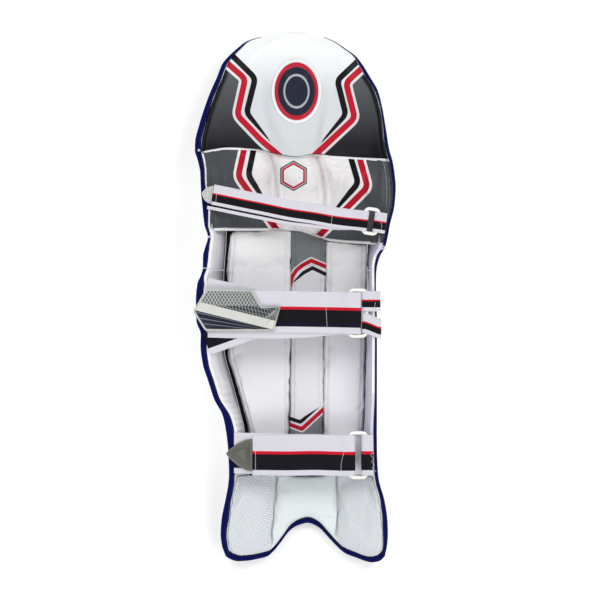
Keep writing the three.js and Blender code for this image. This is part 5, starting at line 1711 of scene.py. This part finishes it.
end_stitch = {"Pitch": 0.0034, "Length": 0.0022, "Thickness": 0.0008}
end_stitches = follow("knee_end_stitches", [along_end(0.972, 0.15)], STITCH_RUN, WHITE_THREAD, **end_stitch)
left_end = follow("knee_left_piping", [along_end(0.004, -0.3)], PIPING, LEATHER, Radius=0.0012)
right_end = follow("knee_right_piping", [along_end(0.997, -0.3)], PIPING, DARK_THREAD, Radius=0.0013)

# %% [markdown]
# ## Webbing straps
#
# Three woven straps cross the leg side. Each runs under its ring, turns round the rail and comes
# back on top, and a short loop of the same webbing holds the ring from the other side. Webbing
# can't stretch, so it is swept along its path with a constant width: cloth simulation would
# only erase its thin edge. The tape is woven white, red, black and white, and its lower
# layer lies a few millimetres off the upper one.

# %% Planes and paths of the straps
WEBBING, LAYER_PITCH, FOLD_RADIUS = 2.0, 2.6, 3.8
STRAP_LEAD, LOOP_LEAD, RING_LIFT, RING_RAIL, RING_END = 13.0, 6.0, 1.5, 4.6, 2.4
LOOP_DROP, LOOP_BEND, OVER_RIM = 26.0, 4.0, 0.8


class StrapPlane:
    """s runs along the strap from the guard's middle line, across runs over its width."""

    def __init__(self, at, degrees=0.0, lean=0.0, y=None):
        self.y = float(y_at(at)) if y is None else y
        self.cos, self.sin = math.cos(math.radians(degrees)), math.sin(math.radians(degrees))
        self.lean = lean

    def point(self, s, across, z):
        x = s * self.cos - across * self.sin
        return stack(x, self.y + s * self.sin + across * self.cos, z + self.lean * across)

    def along(self, share):
        return share * PAD_WIDTH / self.cos

    def level(self, x, y, z):
        """Height of the plane under x and y, where z is its height on the middle line."""
        return z + self.lean * ((y - self.y) * self.cos - x * self.sin)


def fold_path(rail, fold, z, side):
    """Under a rail, half a turn round it and back over it."""
    turn = np.radians(np.linspace(-90, 90, 19))
    near = rail - side * RING_RAIL / 2
    arc_points = [(fold + side * FOLD_RADIUS * math.cos(a), z + FOLD_RADIUS * math.sin(a), 0) for a in turn]
    return [(near, z - FOLD_RADIUS, 0)] + arc_points + [(near, z + FOLD_RADIUS, 0)]


PATH_STEP, PATH_ROUNDS = 1.1, 3


def even_path(corners):
    """Path through corners, resampled at even steps and slightly rounded."""
    path = resampled(np.asarray(corners, float), PATH_STEP)
    for _ in range(PATH_ROUNDS):
        path[1:-1] = (path[:-2] + 2 * path[1:-1] + path[2:]) / 4
    return path


def folded_path(start, finish, rail, fold, seat, ring_z, side, lead, slip=0.0, bow=0.0, hold=1.0):
    """hold: above 1, the lower layer keeps its slip for longer before it meets the upper one."""
    turn = rail - side * lead

    def height(s):
        return mix(seat, ring_z - LAYER_PITCH / 2, (s - start) / (turn - start))

    shares = np.linspace(0, 1, 40)
    arch = bow * np.sin(math.pi * shares)
    out = mix(start, turn, shares)
    under = [(s, height(s) + b, slip * (1 - t**hold)) for s, b, t in zip(out, arch, shares)]
    back = mix(turn, finish, shares)
    over = [(s, height(s) + LAYER_PITCH + b, 0) for s, b in zip(back, arch[::-1])]
    return even_path(under + fold_path(rail, fold, ring_z, side) + over)


print("fold radius of the webbing, mm:", FOLD_RADIUS)

# %% Sweep webbing along a path
CORNER_STEPS = [(0.7, 1.0), (0.25, 0.75), (0.0, 0.0), (0.25, -0.75), (0.7, -1.0)]


def webbing_profile(width):
    """(place over the width, face) round the section: 1 on the path's left, -1 on its right."""
    half = width / 2
    flat = np.linspace(half - 0.7, 0.7 - half, 17)[1:-1]
    lower = [(inset - half, out) for inset, out in CORNER_STEPS]
    upper = [(half - inset, out) for inset, out in CORNER_STEPS[::-1]]
    return np.array([(a, 1.0) for a in flat] + lower + [(-a, -1.0) for a in flat] + upper)


def webbing(name, plane, path, width, finish, seed=1, edge_wave=0.35):
    s, z, shift = path.T
    run = np.gradient(path[:, :2], axis=0)
    run /= np.linalg.norm(run, axis=1, keepdims=True)
    profile = webbing_profile(width)
    across, out = profile[:, 0][None, :], profile[:, 1][None, :] * WEBBING / 2
    s, z, shift = s[:, None], z[:, None], shift[:, None]
    wave = 0.22 * ripple(s, across * 2, 42, seed)
    sway = edge_wave * ripple(s, 0 * s, 70, seed + 50)
    selvedge = 1 + 0.10 * (np.abs(across) > width / 2 - 2.0)
    out = out * selvedge
    ring = plane.point(s - run[:, 1:] * out, across + shift + sway, z + run[:, :1] * out + wave)
    ids, walls = tube_walls(*ring.shape[:2])
    walls += [ids[0][::-1].tolist(), ids[-1].tolist()]
    length = arc(ring, 0)[:, :1] + 0 * across
    cloth = np.stack([length.ravel(), (across + 0 * s).ravel()], -1)
    piece = make_mesh(name, ring.reshape(-1, 3), walls, cloth, (finish,), sharp=60)
    layer = piece.data.attributes.new("share", "FLOAT", "POINT")
    layer.data.foreach_set("value", ((width / 2 - across) / width + 0 * s).ravel())
    return piece


# %% Woven bands of the webbing
TAPE_WHITE, TAPE_RED, TAPE_BLACK = rgb("edebf5"), rgb("e0142c"), rgb("100d14")


def webbing_finish(name, bands, twill=0.0):
    """bands: (share where it starts, colour) from the upper edge down."""
    f = Finish(name, 0.7, gloss=0.2)
    run, side = f.cloth_place()
    share = f.mark("share")
    colour = TAPE_WHITE
    raised = 0.0
    for start, tint in bands:
        here = f.above(share, start, 0.008)
        colour = f.mix(here, colour, tint)
        raised = here * (1.0 if tint is not TAPE_WHITE else 0.0) + raised * (1 - here)
    warp = f.sine(side * (2 * math.pi / 1.15))
    weft = f.sine(run * (2 * math.pi / 0.95))
    slant = f.sine((run - side) * (2 * math.pi / 3.4)) * (raised * 0.85 + 0.15)
    weave = warp * 0.05 + weft * 0.03 + slant * twill + 0.95
    thread = f.shade(colour, weave * clouds(f, 0.96, 14))
    return f.finish(thread, warp * 0.16 + weft * 0.1 + slant * twill * 0.6 + f.noise(80, 3) * 0.3)


def four_bands(red, black, white):
    return [(red, TAPE_RED), (black, TAPE_BLACK), (white, TAPE_WHITE)]


WOVEN = {
    "top": webbing_finish("top_webbing", four_bands(0.42, 0.49, 0.84), 0.05),
    "middle": webbing_finish(
        "middle_webbing",
        [(0.37, TAPE_RED), (0.44, TAPE_BLACK), (0.74, rgb("0a0f28")), (0.845, TAPE_WHITE)],
        0.22,
    ),
    "bottom": webbing_finish(
        "bottom_webbing",
        [(0.40, TAPE_RED), (0.475, TAPE_BLACK), (0.74, rgb("070b20")), (0.866, TAPE_WHITE)],
        0.06,
    ),
    "loops": webbing_finish("loop_webbing", four_bands(0.42, 0.50, 0.80), 0.08),
    "arms": webbing_finish("arm_webbing", [(0.0, TAPE_BLACK), (0.70, TAPE_WHITE)], 0.05),
    "plain": webbing_finish("plain_webbing", [(0.5, TAPE_WHITE)]),
}
print("webbing finishes:", list(WOVEN))

# %% [markdown]
# ## Rings
#
# The rings are moulded in cream nylon: two straight rails inside the folds, joined by broader
# oval ends. The ring is a closed sweep whose section grows at the ends.

# %% Moulded rings
nylon = Finish("cream_nylon", 0.35, coat=0.2)
NYLON = nylon.finish(nylon.shade(rgb("fdfbf2"), clouds(nylon, 0.97, 20)), nylon.noise(120, 3) * 0.15)


def moulded_ring(name, plane, left, right, z, width):
    half_long, half_wide, middle = width / 2 + 0.3 + RING_END, (right - left) / 2, (left + right) / 2
    corner = min(6.0, half_wide)
    spots = []
    for sx, sy, start in ((1, 1, 0), (-1, 1, 90), (-1, -1, 180), (1, -1, 270)):
        for turn in np.radians(start + np.linspace(0, 90, 12)):
            nx, ny = math.cos(turn), math.sin(turn)
            x, y = sx * (half_wide - corner) + corner * nx, sy * (half_long - corner) + corner * ny
            spots.append((x, y, nx, ny))
    spots = np.array(spots + [spots[0]])
    x, y, nx, ny = resampled(spots, count=141)[:-1].T
    broad = ease((np.abs(y) - half_long + 5.0) / 4.0)
    round_end = broad * np.cos(np.clip(x / half_wide, -1, 1) * math.pi / 2)
    turn = np.linspace(0, 2 * math.pi, 17)[:-1][None, :]
    reach = mix(RING_RAIL / 2, RING_END, round_end[:, None]) * np.cos(turn)
    lift = (RING_RAIL / 2 + 0.2 * round_end[:, None]) * np.sin(turn)
    x, y, nx, ny = (values[:, None] for values in (x, y, nx, ny))
    ring = plane.point(middle + x + nx * reach, y + ny * reach, z + lift)
    rows, count = ring.shape[:2]
    ids = np.arange(rows * count).reshape(rows, count)
    after, next_row = np.roll(ids, -1, axis=1), np.roll(ids, -1, axis=0)
    faces = np.stack([ids, after, np.roll(after, -1, axis=0), next_row], -1).reshape(-1, 4).tolist()
    return make_mesh(name, ring.reshape(-1, 3), faces, finishes=(NYLON,))


# %% Top and bottom straps with their rings
def seat_under(plane, share, width, height_at):
    highest = []
    for part in (-0.5, 0.0, 0.5):
        x, y, z = plane.point(plane.along(share), part * width, 0.0)
        highest.append(float(height_at(np.array(x), np.array(at_y(y)))) - float(z))
    return max(highest) + SEAT_GAP + WEBBING / 2


def rim_height(x, at):
    return rim_z(at)


def knee_height(x, at):
    return knee_seat(x, at) + KNEE_EDGE


RING_STRAPS = {
    "top": dict(
        at=0.6640, degrees=-8.6, lean=-0.12, width=28, slip=-7.0, bow=0.0, hold=4.0,
        start=-0.422, finish=-0.404,
        rails=(0.3423, 0.4115), folds=(0.3463, 0.4066), loop_end=0.45, seat=knee_height,
        sag=[(-117, 4.0), (-60, 1.2), (0, -1.5), (50, -2.2), (88, -1.2), (125, -0.8)],
    ),
    "bottom": dict(
        at=0.2037, degrees=0, lean=0.232, width=56, slip=3.0, bow=0.8, hold=1.0,
        start=-0.298, finish=-0.2059,
        rails=(0.2731, 0.3557), folds=(0.284, 0.3462), loop_end=0.387, seat=rim_height,
        sag=[(-90, 0.0), (0, 0.0), (80, -0.6)],
    ),
}
TIP_SEATS = {}


def ring_strap(name, k):
    plane, width = StrapPlane(k["at"], k["degrees"], k["lean"]), k["width"]
    left = seat_under(plane, k["start"], width, k["seat"])
    right = seat_under(plane, k["loop_end"], width, k["seat"])
    ring_z = max(left, right) + LAYER_PITCH / 2 + RING_LIFT
    start, finish, end = (plane.along(k[key]) for key in ("start", "finish", "loop_end"))
    rails, folds = [plane.along(v) for v in k["rails"]], [plane.along(v) for v in k["folds"]]
    ease_in = k["slip"], k["bow"], k["hold"]
    path = folded_path(start, finish, rails[0], folds[0], left, ring_z, RIGHT, STRAP_LEAD, *ease_in)
    path[:, 2] += np.interp(path[:, 0], *zip(*k["sag"]))
    strap = webbing(name + "_strap_webbing", plane, path, width, WOVEN[name], 3)
    dress(strap, name + "_strap", slot="webbing")
    path = folded_path(end, end, rails[1], folds[1], right, ring_z, LEFT, LOOP_LEAD)
    loop = webbing(name + "_loop_webbing", plane, path, width, WOVEN[name], 4, 0.0)
    dress(loop, name + "_ring_loop", slot="webbing")
    ring = moulded_ring(name + "_nylon_ring", plane, rails[0], rails[1], ring_z, width)
    dress(ring, name + "_ring", slot="ring_plastic")
    TIP_SEATS[name] = plane, finish - SEAT_GAP, left + LAYER_PITCH - WEBBING / 2
    return strap, loop


TOP_PIECES = ring_strap("top", RING_STRAPS["top"])
BOTTOM_PIECES = ring_strap("bottom", RING_STRAPS["bottom"])

# %% [markdown]
# ## The middle strap
#
# The middle strap is the widest. Two arms come out from under it over the left rim, and
# two loops hold its ring and pass over the right rim.

# %% Middle strap, arms, loops and ring
MIDDLE_WIDTH, LOOP_GAP = 57.5, 1.7
MIDDLE = dict(at=0.4724, start=-0.425, finish=-0.385, rails=(0.2707, 0.3552), folds=(0.3126, 0.3482))
MIDDLE_SLIP, MIDDLE_HOLD, MIDDLE_TILT = -8.5, 4.0, -1.0


def rim_loop_path(plane, ring_z, seat, slip):
    rail, fold = plane.along(MIDDLE["rails"][1]), plane.along(MIDDLE["folds"][1])
    wall = float(edge_x(RIGHT, at_y(plane.y))) + SEAT_GAP + WEBBING / 2 + OVER_RIM
    corner, turn = LOOP_BEND * (1 - math.sqrt(0.5)), rail + LOOP_LEAD

    def over(lift):
        down = [(wall + lift, seat - LOOP_DROP), (wall + lift, seat - LOOP_BEND)]
        return down + [(wall + lift - corner, seat + lift - corner), (wall - LOOP_BEND, seat + lift)]

    def level(path):
        return [(s, z, 0) for s, z in path]

    lower = level(over(0) + [(turn, ring_z - LAYER_PITCH / 2)])
    upper = level([(turn, ring_z + LAYER_PITCH / 2)] + over(LAYER_PITCH)[::-1])
    path = even_path(lower + fold_path(rail, fold, ring_z, LEFT) + upper)
    path[:, 2] = slip * np.clip((path[:, 0] - fold) / (wall - fold), 0, 1)
    return path


MIDDLE_ARMS = (("upper", 0.61, -12.6, 24, "plain"), ("lower", -0.772, 19.5, 30, "arms"))
MIDDLE_LOOPS = (("upper", 1, 0.0), ("lower", -1, -7.5))
ARM_START, ARM_FINISH = -0.432, -0.196


def middle_strap():
    plane, tilted = StrapPlane(MIDDLE["at"]), StrapPlane(MIDDLE["at"], MIDDLE_TILT)
    arm_z = float(rim_z(MIDDLE["at"])) + SEAT_GAP + WEBBING / 2
    pieces = []
    for name, across, degrees, width, finish in MIDDLE_ARMS:
        own = StrapPlane(MIDDLE["at"] + across * MIDDLE_WIDTH / PAD_LENGTH, degrees)
        own.y -= own.along(ARM_START) * own.sin
        path = even_path([(own.along(share), arm_z, 0) for share in (ARM_START, ARM_FINISH)])
        arm = webbing(f"arm_{name}_webbing", own, path, width, WOVEN[finish], 5, 0.0)
        pieces.append(dress(arm, "middle_strap_arm_" + name, slot="webbing"))
    seat, ring_z = arm_z + LAYER_PITCH, arm_z + LAYER_PITCH / 2 + RING_LIFT
    rails, folds = [plane.along(v) for v in MIDDLE["rails"]], [plane.along(v) for v in MIDDLE["folds"]]
    ends = plane.along(MIDDLE["start"]), plane.along(MIDDLE["finish"])
    rail_turn = rails[0], folds[0], seat, ring_z, RIGHT, STRAP_LEAD
    path = folded_path(*ends, *rail_turn, MIDDLE_SLIP, hold=MIDDLE_HOLD)
    strap = webbing("middle_strap_webbing", tilted, path, MIDDLE_WIDTH, WOVEN["middle"], 6)
    pieces.append(dress(strap, "middle_strap", slot="webbing"))
    loop_width = (MIDDLE_WIDTH - LOOP_GAP) / 2
    for name, side, slip in MIDDLE_LOOPS:
        own = StrapPlane(MIDDLE["at"] + side * (loop_width + LOOP_GAP) / 2 / PAD_LENGTH)
        path = rim_loop_path(own, ring_z, arm_z + SEAT_GAP, slip)
        loop = webbing(f"loop_{name}_webbing", own, path, loop_width, WOVEN["loops"], 7, 0.0)
        pieces.append(dress(loop, "middle_ring_loop_" + name, slot="webbing"))
    ring = moulded_ring("middle_nylon_ring", tilted, rails[0], rails[1], ring_z, MIDDLE_WIDTH)
    dress(ring, "middle_ring", slot="ring_plastic")
    return pieces, plane, seat + LAYER_PITCH + WEBBING / 2 + SEAT_GAP


MIDDLE_PIECES, TAB_PLANE, TAB_SEAT = middle_strap()

# %% [markdown]
# ## Moulded tips and the pull tab
#
# The free ends wear moulded tips: a pale leaf at the top, a grey-green arch with ridges at the
# bottom, and a large hooked tab in the middle. Their outlines are short tables. Rings of points
# step in from the outline, each at its own height, and that makes rims and ridges real.


# %% Outlines and inset rings
def rounded_outline(corners, radius, steps=7, spacing=1.4):
    """Closed outline with each corner turned by a small arc and even points between."""
    corners, points = np.asarray(corners, float), []
    for i in range(len(corners)):
        here, before, after = corners[i], corners[i - 1], corners[(i + 1) % len(corners)]
        to_before, to_after = before - here, after - here
        near = here + to_before / np.linalg.norm(to_before) * radius
        far = here + to_after / np.linalg.norm(to_after) * radius
        points += corner_arc(near, here, far, steps)
    return resampled(np.array(points + [points[0]]), spacing)[:-1]


def inset_rings(outline, rows):
    """rows: (millimetres in from the outline, height)."""
    tangent = np.roll(outline, -1, axis=0) - np.roll(outline, 1, axis=0)
    inward = np.stack([-tangent[:, 1], tangent[:, 0]], -1) / np.linalg.norm(tangent, axis=1, keepdims=True)
    area = np.sum(outline[:, 0] * np.roll(outline[:, 1], -1) - np.roll(outline[:, 0], -1) * outline[:, 1])
    inward = inward if area > 0 else -inward
    return [(outline + inward * step, lift) for step, lift in rows]


def mark_inset(piece, outline):
    """Stores how far each point lies in from the outline."""
    closed = np.concatenate([outline, outline[:1]]).tolist()
    mark(piece, "inset", lambda x, y, z: np.abs(line_distance(x, y, closed)))


def plane_outline(plane, rows):
    return np.array([plane.point(s, across, 0.0)[:2] for s, across in rows])


# %% Tips of the top and bottom straps
TOP_TIP = [(0, 0.14), (0.16, 0.28), (0.35, 0.40), (0.7, 0.52), (1, 0.58)]
TOP_TIP += [(1, -0.34), (0.7, -0.30), (0.4, -0.22), (0.16, -0.06)]
BOTTOM_TIP = [(0, 0.037), (0.2, 0.17), (0.46, 0.29), (0.76, 0.38), (1, 0.40)]
BOTTOM_TIP += [(1, -0.40), (0.76, -0.37), (0.46, -0.26), (0.2, -0.11)]


def tip_finish(name, colour, metallic, roughness, pitch, depth):
    """pitch and depth: the fine ridges that follow the outline, in millimetres."""
    f = Finish(name, roughness, metallic=metallic, coat=0.08)
    pits = f.noise(400, 3, 0.6)
    ridges = f.sine(f.mark("inset") * (2 * math.pi / pitch))
    # The ridges also stripe the colour lighter and darker: painted light and shade that follows their
    # relief.
    tone = clouds(f, 0.85, 60) * (0.88 + 0.2 * pits) * (0.86 + 0.18 * ridges)
    return f.finish(f.shade(colour, tone), ridges * depth + pits * 0.15)


def strap_tip(name, rows, tip_share, steps, finish, node):
    plane, end, seat = TIP_SEATS[name]
    width = RING_STRAPS[name]["width"]
    point = plane.along(tip_share)
    outline = plane_outline(plane, [(mix(point, end, along), across * width) for along, across in rows])
    outline = rounded_outline(outline, 2.2, 5, 1.0)
    rings = shrunk_rings(outline, steps)
    tip = moulding(name + "_moulded_tip", rings, lambda x, y: plane.level(x, y, seat), finish, 0.0)
    mark_inset(tip, outline)
    return dress(tip, node, slot="tip_rubber")


leaf_steps = [(0.0, 0.0), (0.0, 2.2), (0.05, 3.4), (0.12, 3.9), (0.22, 3.9), (0.28, 3.2)]
leaf_steps += [(0.34, 3.1), (0.40, 3.5), (0.46, 3.6), (0.52, 3.2), (0.8, 3.2)]
arch_steps = [(0.0, 0.0), (0.0, 2.2), (0.03, 3.3), (0.07, 3.9), (0.12, 3.9), (0.15, 3.4)]
for share in np.arange(0.18, 0.62, 0.07):
    arch_steps += [(share, 3.4), (share + 0.015, 3.75), (share + 0.035, 3.8), (share + 0.05, 3.4)]
arch_steps += [(0.70, 3.3), (0.9, 3.2)]
PALE_RUBBER = tip_finish("pale_rubber", rgb("d9dbd8"), 0.1, 0.32, 2.6, 0.3)
GREY_RUBBER = tip_finish("grey_green_rubber", rgb("808179"), 0.3, 0.42, 1.9, 0.3)
strap_tip("top", TOP_TIP, -0.4595, leaf_steps, PALE_RUBBER, "top_strap_tip")
strap_tip("bottom", BOTTOM_TIP, -0.3408, arch_steps, GREY_RUBBER, "bottom_strap_tip")

# %% Pull tab of the middle strap
PULL_TAB = [(-0.500, 0.017), (-0.435, 0.548), (-0.207, 0.527), (-0.162, 0.134)]
PULL_TAB += [(-0.066, 0.143), (-0.101, -0.452), (-0.439, -0.452)]


def beyond(x, y, start, end):
    """Distance to the right of a straight line, as it is walked from start to end."""
    dx, dy = end[0] - start[0], end[1] - start[1]
    length = math.hypot(dx, dy)
    return (x - start[0]) * (dy / length) - (y - start[1]) * (dx / length)


def tab_finish():
    f = Finish("pull_tab_rubber", 0.4, metallic=0.1, coat=0.15)
    x, y, _ = f.place()
    upper = beyond(x, y, (-129.0, -6.4), (-21.2, -33.2))
    lower = beyond(x, y, (-135.7, -17.7), (-26.0, -44.9))
    split = beyond(x, y, (-109.0, -11.5), (-17.8, -12.6))
    rim = f.mark("inset")
    first = abs(f.sine((x + y * 0.60) * (math.pi / 4.6)))
    second = abs(f.sine((x - y * 0.60) * (math.pi / 4.6)))
    wires = 1 - f.above(f.maths("MINIMUM", first, second), 0.30, 0.12)
    slats = 1 - f.above(abs(f.sine((x + y * 0.30) * (math.pi / 4.2))), 0.34, 0.12)
    treads = 1 - f.above(abs(f.sine((y + x * 0.25) * (math.pi / 5.2))), 0.22, 0.12)
    slope = (y + 48.5) / (x + 12.0)
    rays = f.above(f.sine(slope * 105 + 0.6), 0.72, 0.2)
    hatch = f.mix(wires, rgb("6f7577"), rgb("d2d4d0"))
    dark_hatch = f.mix(f.maths("MAXIMUM", slats, treads), rgb("383d42"), rgb("9a9fa0"))
    colour = f.mix(f.above(split, 0.0, 0.4), hatch, dark_hatch)
    colour = f.mix(f.above(lower, 0.0, 0.4), colour, f.mix(rays, rgb("151a2a"), rgb("70778a")))
    band = f.above(upper, 0.0, 0.4) * (1 - f.above(lower, 0.0, 0.4))
    colour = f.mix(band, colour, rgb("d3d4cf"))
    border = 1 - f.above(rim, 2.6, 0.3)
    colour = f.mix(border, colour, rgb("c6c9c3"))
    relief = (wires + slats * 0.5) * (1 - band) * (1 - border) * 0.5 + band * 0.7 + rays * (1 - band) * 0.4
    return f.finish(f.shade(colour, clouds(f, 0.93, 40)), relief)


tab_corners = plane_outline(TAB_PLANE, [(at * PAD_WIDTH, across * MIDDLE_WIDTH) for at, across in PULL_TAB])
tab_outline = rounded_outline(tab_corners, 3.4)
tab_rows = [(0.0, 0.0), (0.0, 3.0), (0.35, 3.9), (0.9, 4.4), (1.6, 4.5), (2.2, 4.4), (2.7, 3.9), (3.1, 3.7)]
tab = moulding(
    "pull_tab_moulding",
    inset_rings(tab_outline, tab_rows),
    lambda x, y: TAB_PLANE.level(x, y, TAB_SEAT),
    tab_finish(),
    0.0,
    flat_top=True,
)
mark_inset(tab, tab_outline)
dress(tab, "pull_tab", slot="tip_rubber")

# %% [markdown]
# ## Thread on the straps
#
# Each strap is sewn across where its layers meet. The thread crosses the black band as a pale
# line, so the stitch tree runs along short paths that are dropped onto the webbing.

# %% Cross stitches
STRAP_SKIN = Skin(*TOP_PIECES, *BOTTOM_PIECES, *MIDDLE_PIECES)


def sewn_line(start, end, bend=0.0, zigzag=0.0, turns=4):
    t = np.linspace(0, 1, 40)
    swing = bend * np.sin(math.pi * t) + zigzag * (2 * np.abs((t * turns) % 1 - 0.5) - 0.5)
    x = mix(start[0], end[0], t) + swing
    return STRAP_SKIN.lay(np.stack([x, mix(start[1], end[1], t)], -1), 0.12, 1)


LINES = [
    sewn_line((-106.4, 141.6), (-107.6, 130.2)),
    sewn_line((51.5, 110.0), (50.1, 98.6)),
    sewn_line((118.2, 103.6), (118.2, 90.4), 1.0, 1.0, 2),
    sewn_line((43.3, -16.0), (44.6, -40.7)),
    sewn_line((-53.4, -212.0), (-53.4, -238.0)),
    sewn_line((68.0, -212.0), (63.9, -238.5), -1.5),
    sewn_line((105.5, -212.5), (109.0, -238.0), 0.0, 4.0, 3),
    sewn_line((110.5, -8.5), (114.0, -20.0), -2.5),
]
strap_stitch = {"Pitch": 0.0024, "Length": 0.0021, "Thickness": 0.0008}
cross_stitches = follow("strap_stitches", LINES, STITCH_RUN, WHITE_THREAD, **strap_stitch)

# %% [markdown]
# ## Knots and ties
#
# Where a row of stitching ends, the sewer leaves a small knot on the binding, and one short
# tie pulls the left rim in beside the middle strap. They are tiny curls of piping.

# %% Knots on the binding
def knot(x, y, size, seed):
    """A curl of thread round one point, on top of whatever lies there."""
    pick = np.random.default_rng(seed)
    t = np.linspace(0, 1, 26)
    turn = pick.uniform(0, 6) + t * 2 * math.pi * pick.uniform(1.3, 2.1)
    reach = size * (0.45 + 0.55 * t)
    tall = RIM_SKIN.height(x, y, 100.0)
    height = tall + 0.6 + 0.8 * np.sin(turn * 1.5)
    return stack(x + reach * np.cos(turn), y + reach * np.sin(turn) * 0.8, height)


RIM_PIECES = ("navy_binding", "wing_left_upper_padding", "wing_right_upper_padding")
RIM_SKIN = Skin(*[bpy.data.objects[n] for n in RIM_PIECES])
tie = RIM_SKIN.lay(np.stack([np.linspace(-127.0, -116.5, 12), np.linspace(40.6, 38.8, 12)], -1), 0.5)
KNOTS = [(-131.0, 201.5, 1.8, 1), (121.5, 68.5, 2.6, 2), (119.0, 66.0, 2.0, 3), (-116.5, 82.7, 1.4, 4)]
curls = [tie] + [knot(*place) for place in KNOTS]
knots = follow("rim_knots", curls, PIPING, WHITE_THREAD, Radius=0.0006)

# %% [markdown]
# ## The floor
#
# The guard rests on a plain pale floor.

# %% Floor and finish
bpy.ops.mesh.primitive_plane_add(size=8)
floor = bpy.context.object
floor.name = "floor"
pale = Finish("pale_floor", 0.95)
pale.finish(pale.shade(rgb("fbfbfb"), pale.noise(3, 2) * 0.02 + 0.985))
pale.shader.inputs["Emission Color"].default_value = (1, 1, 1, 1)
pale.shader.inputs["Emission Strength"].default_value = 0.14
floor.data.materials.append(pale.material)
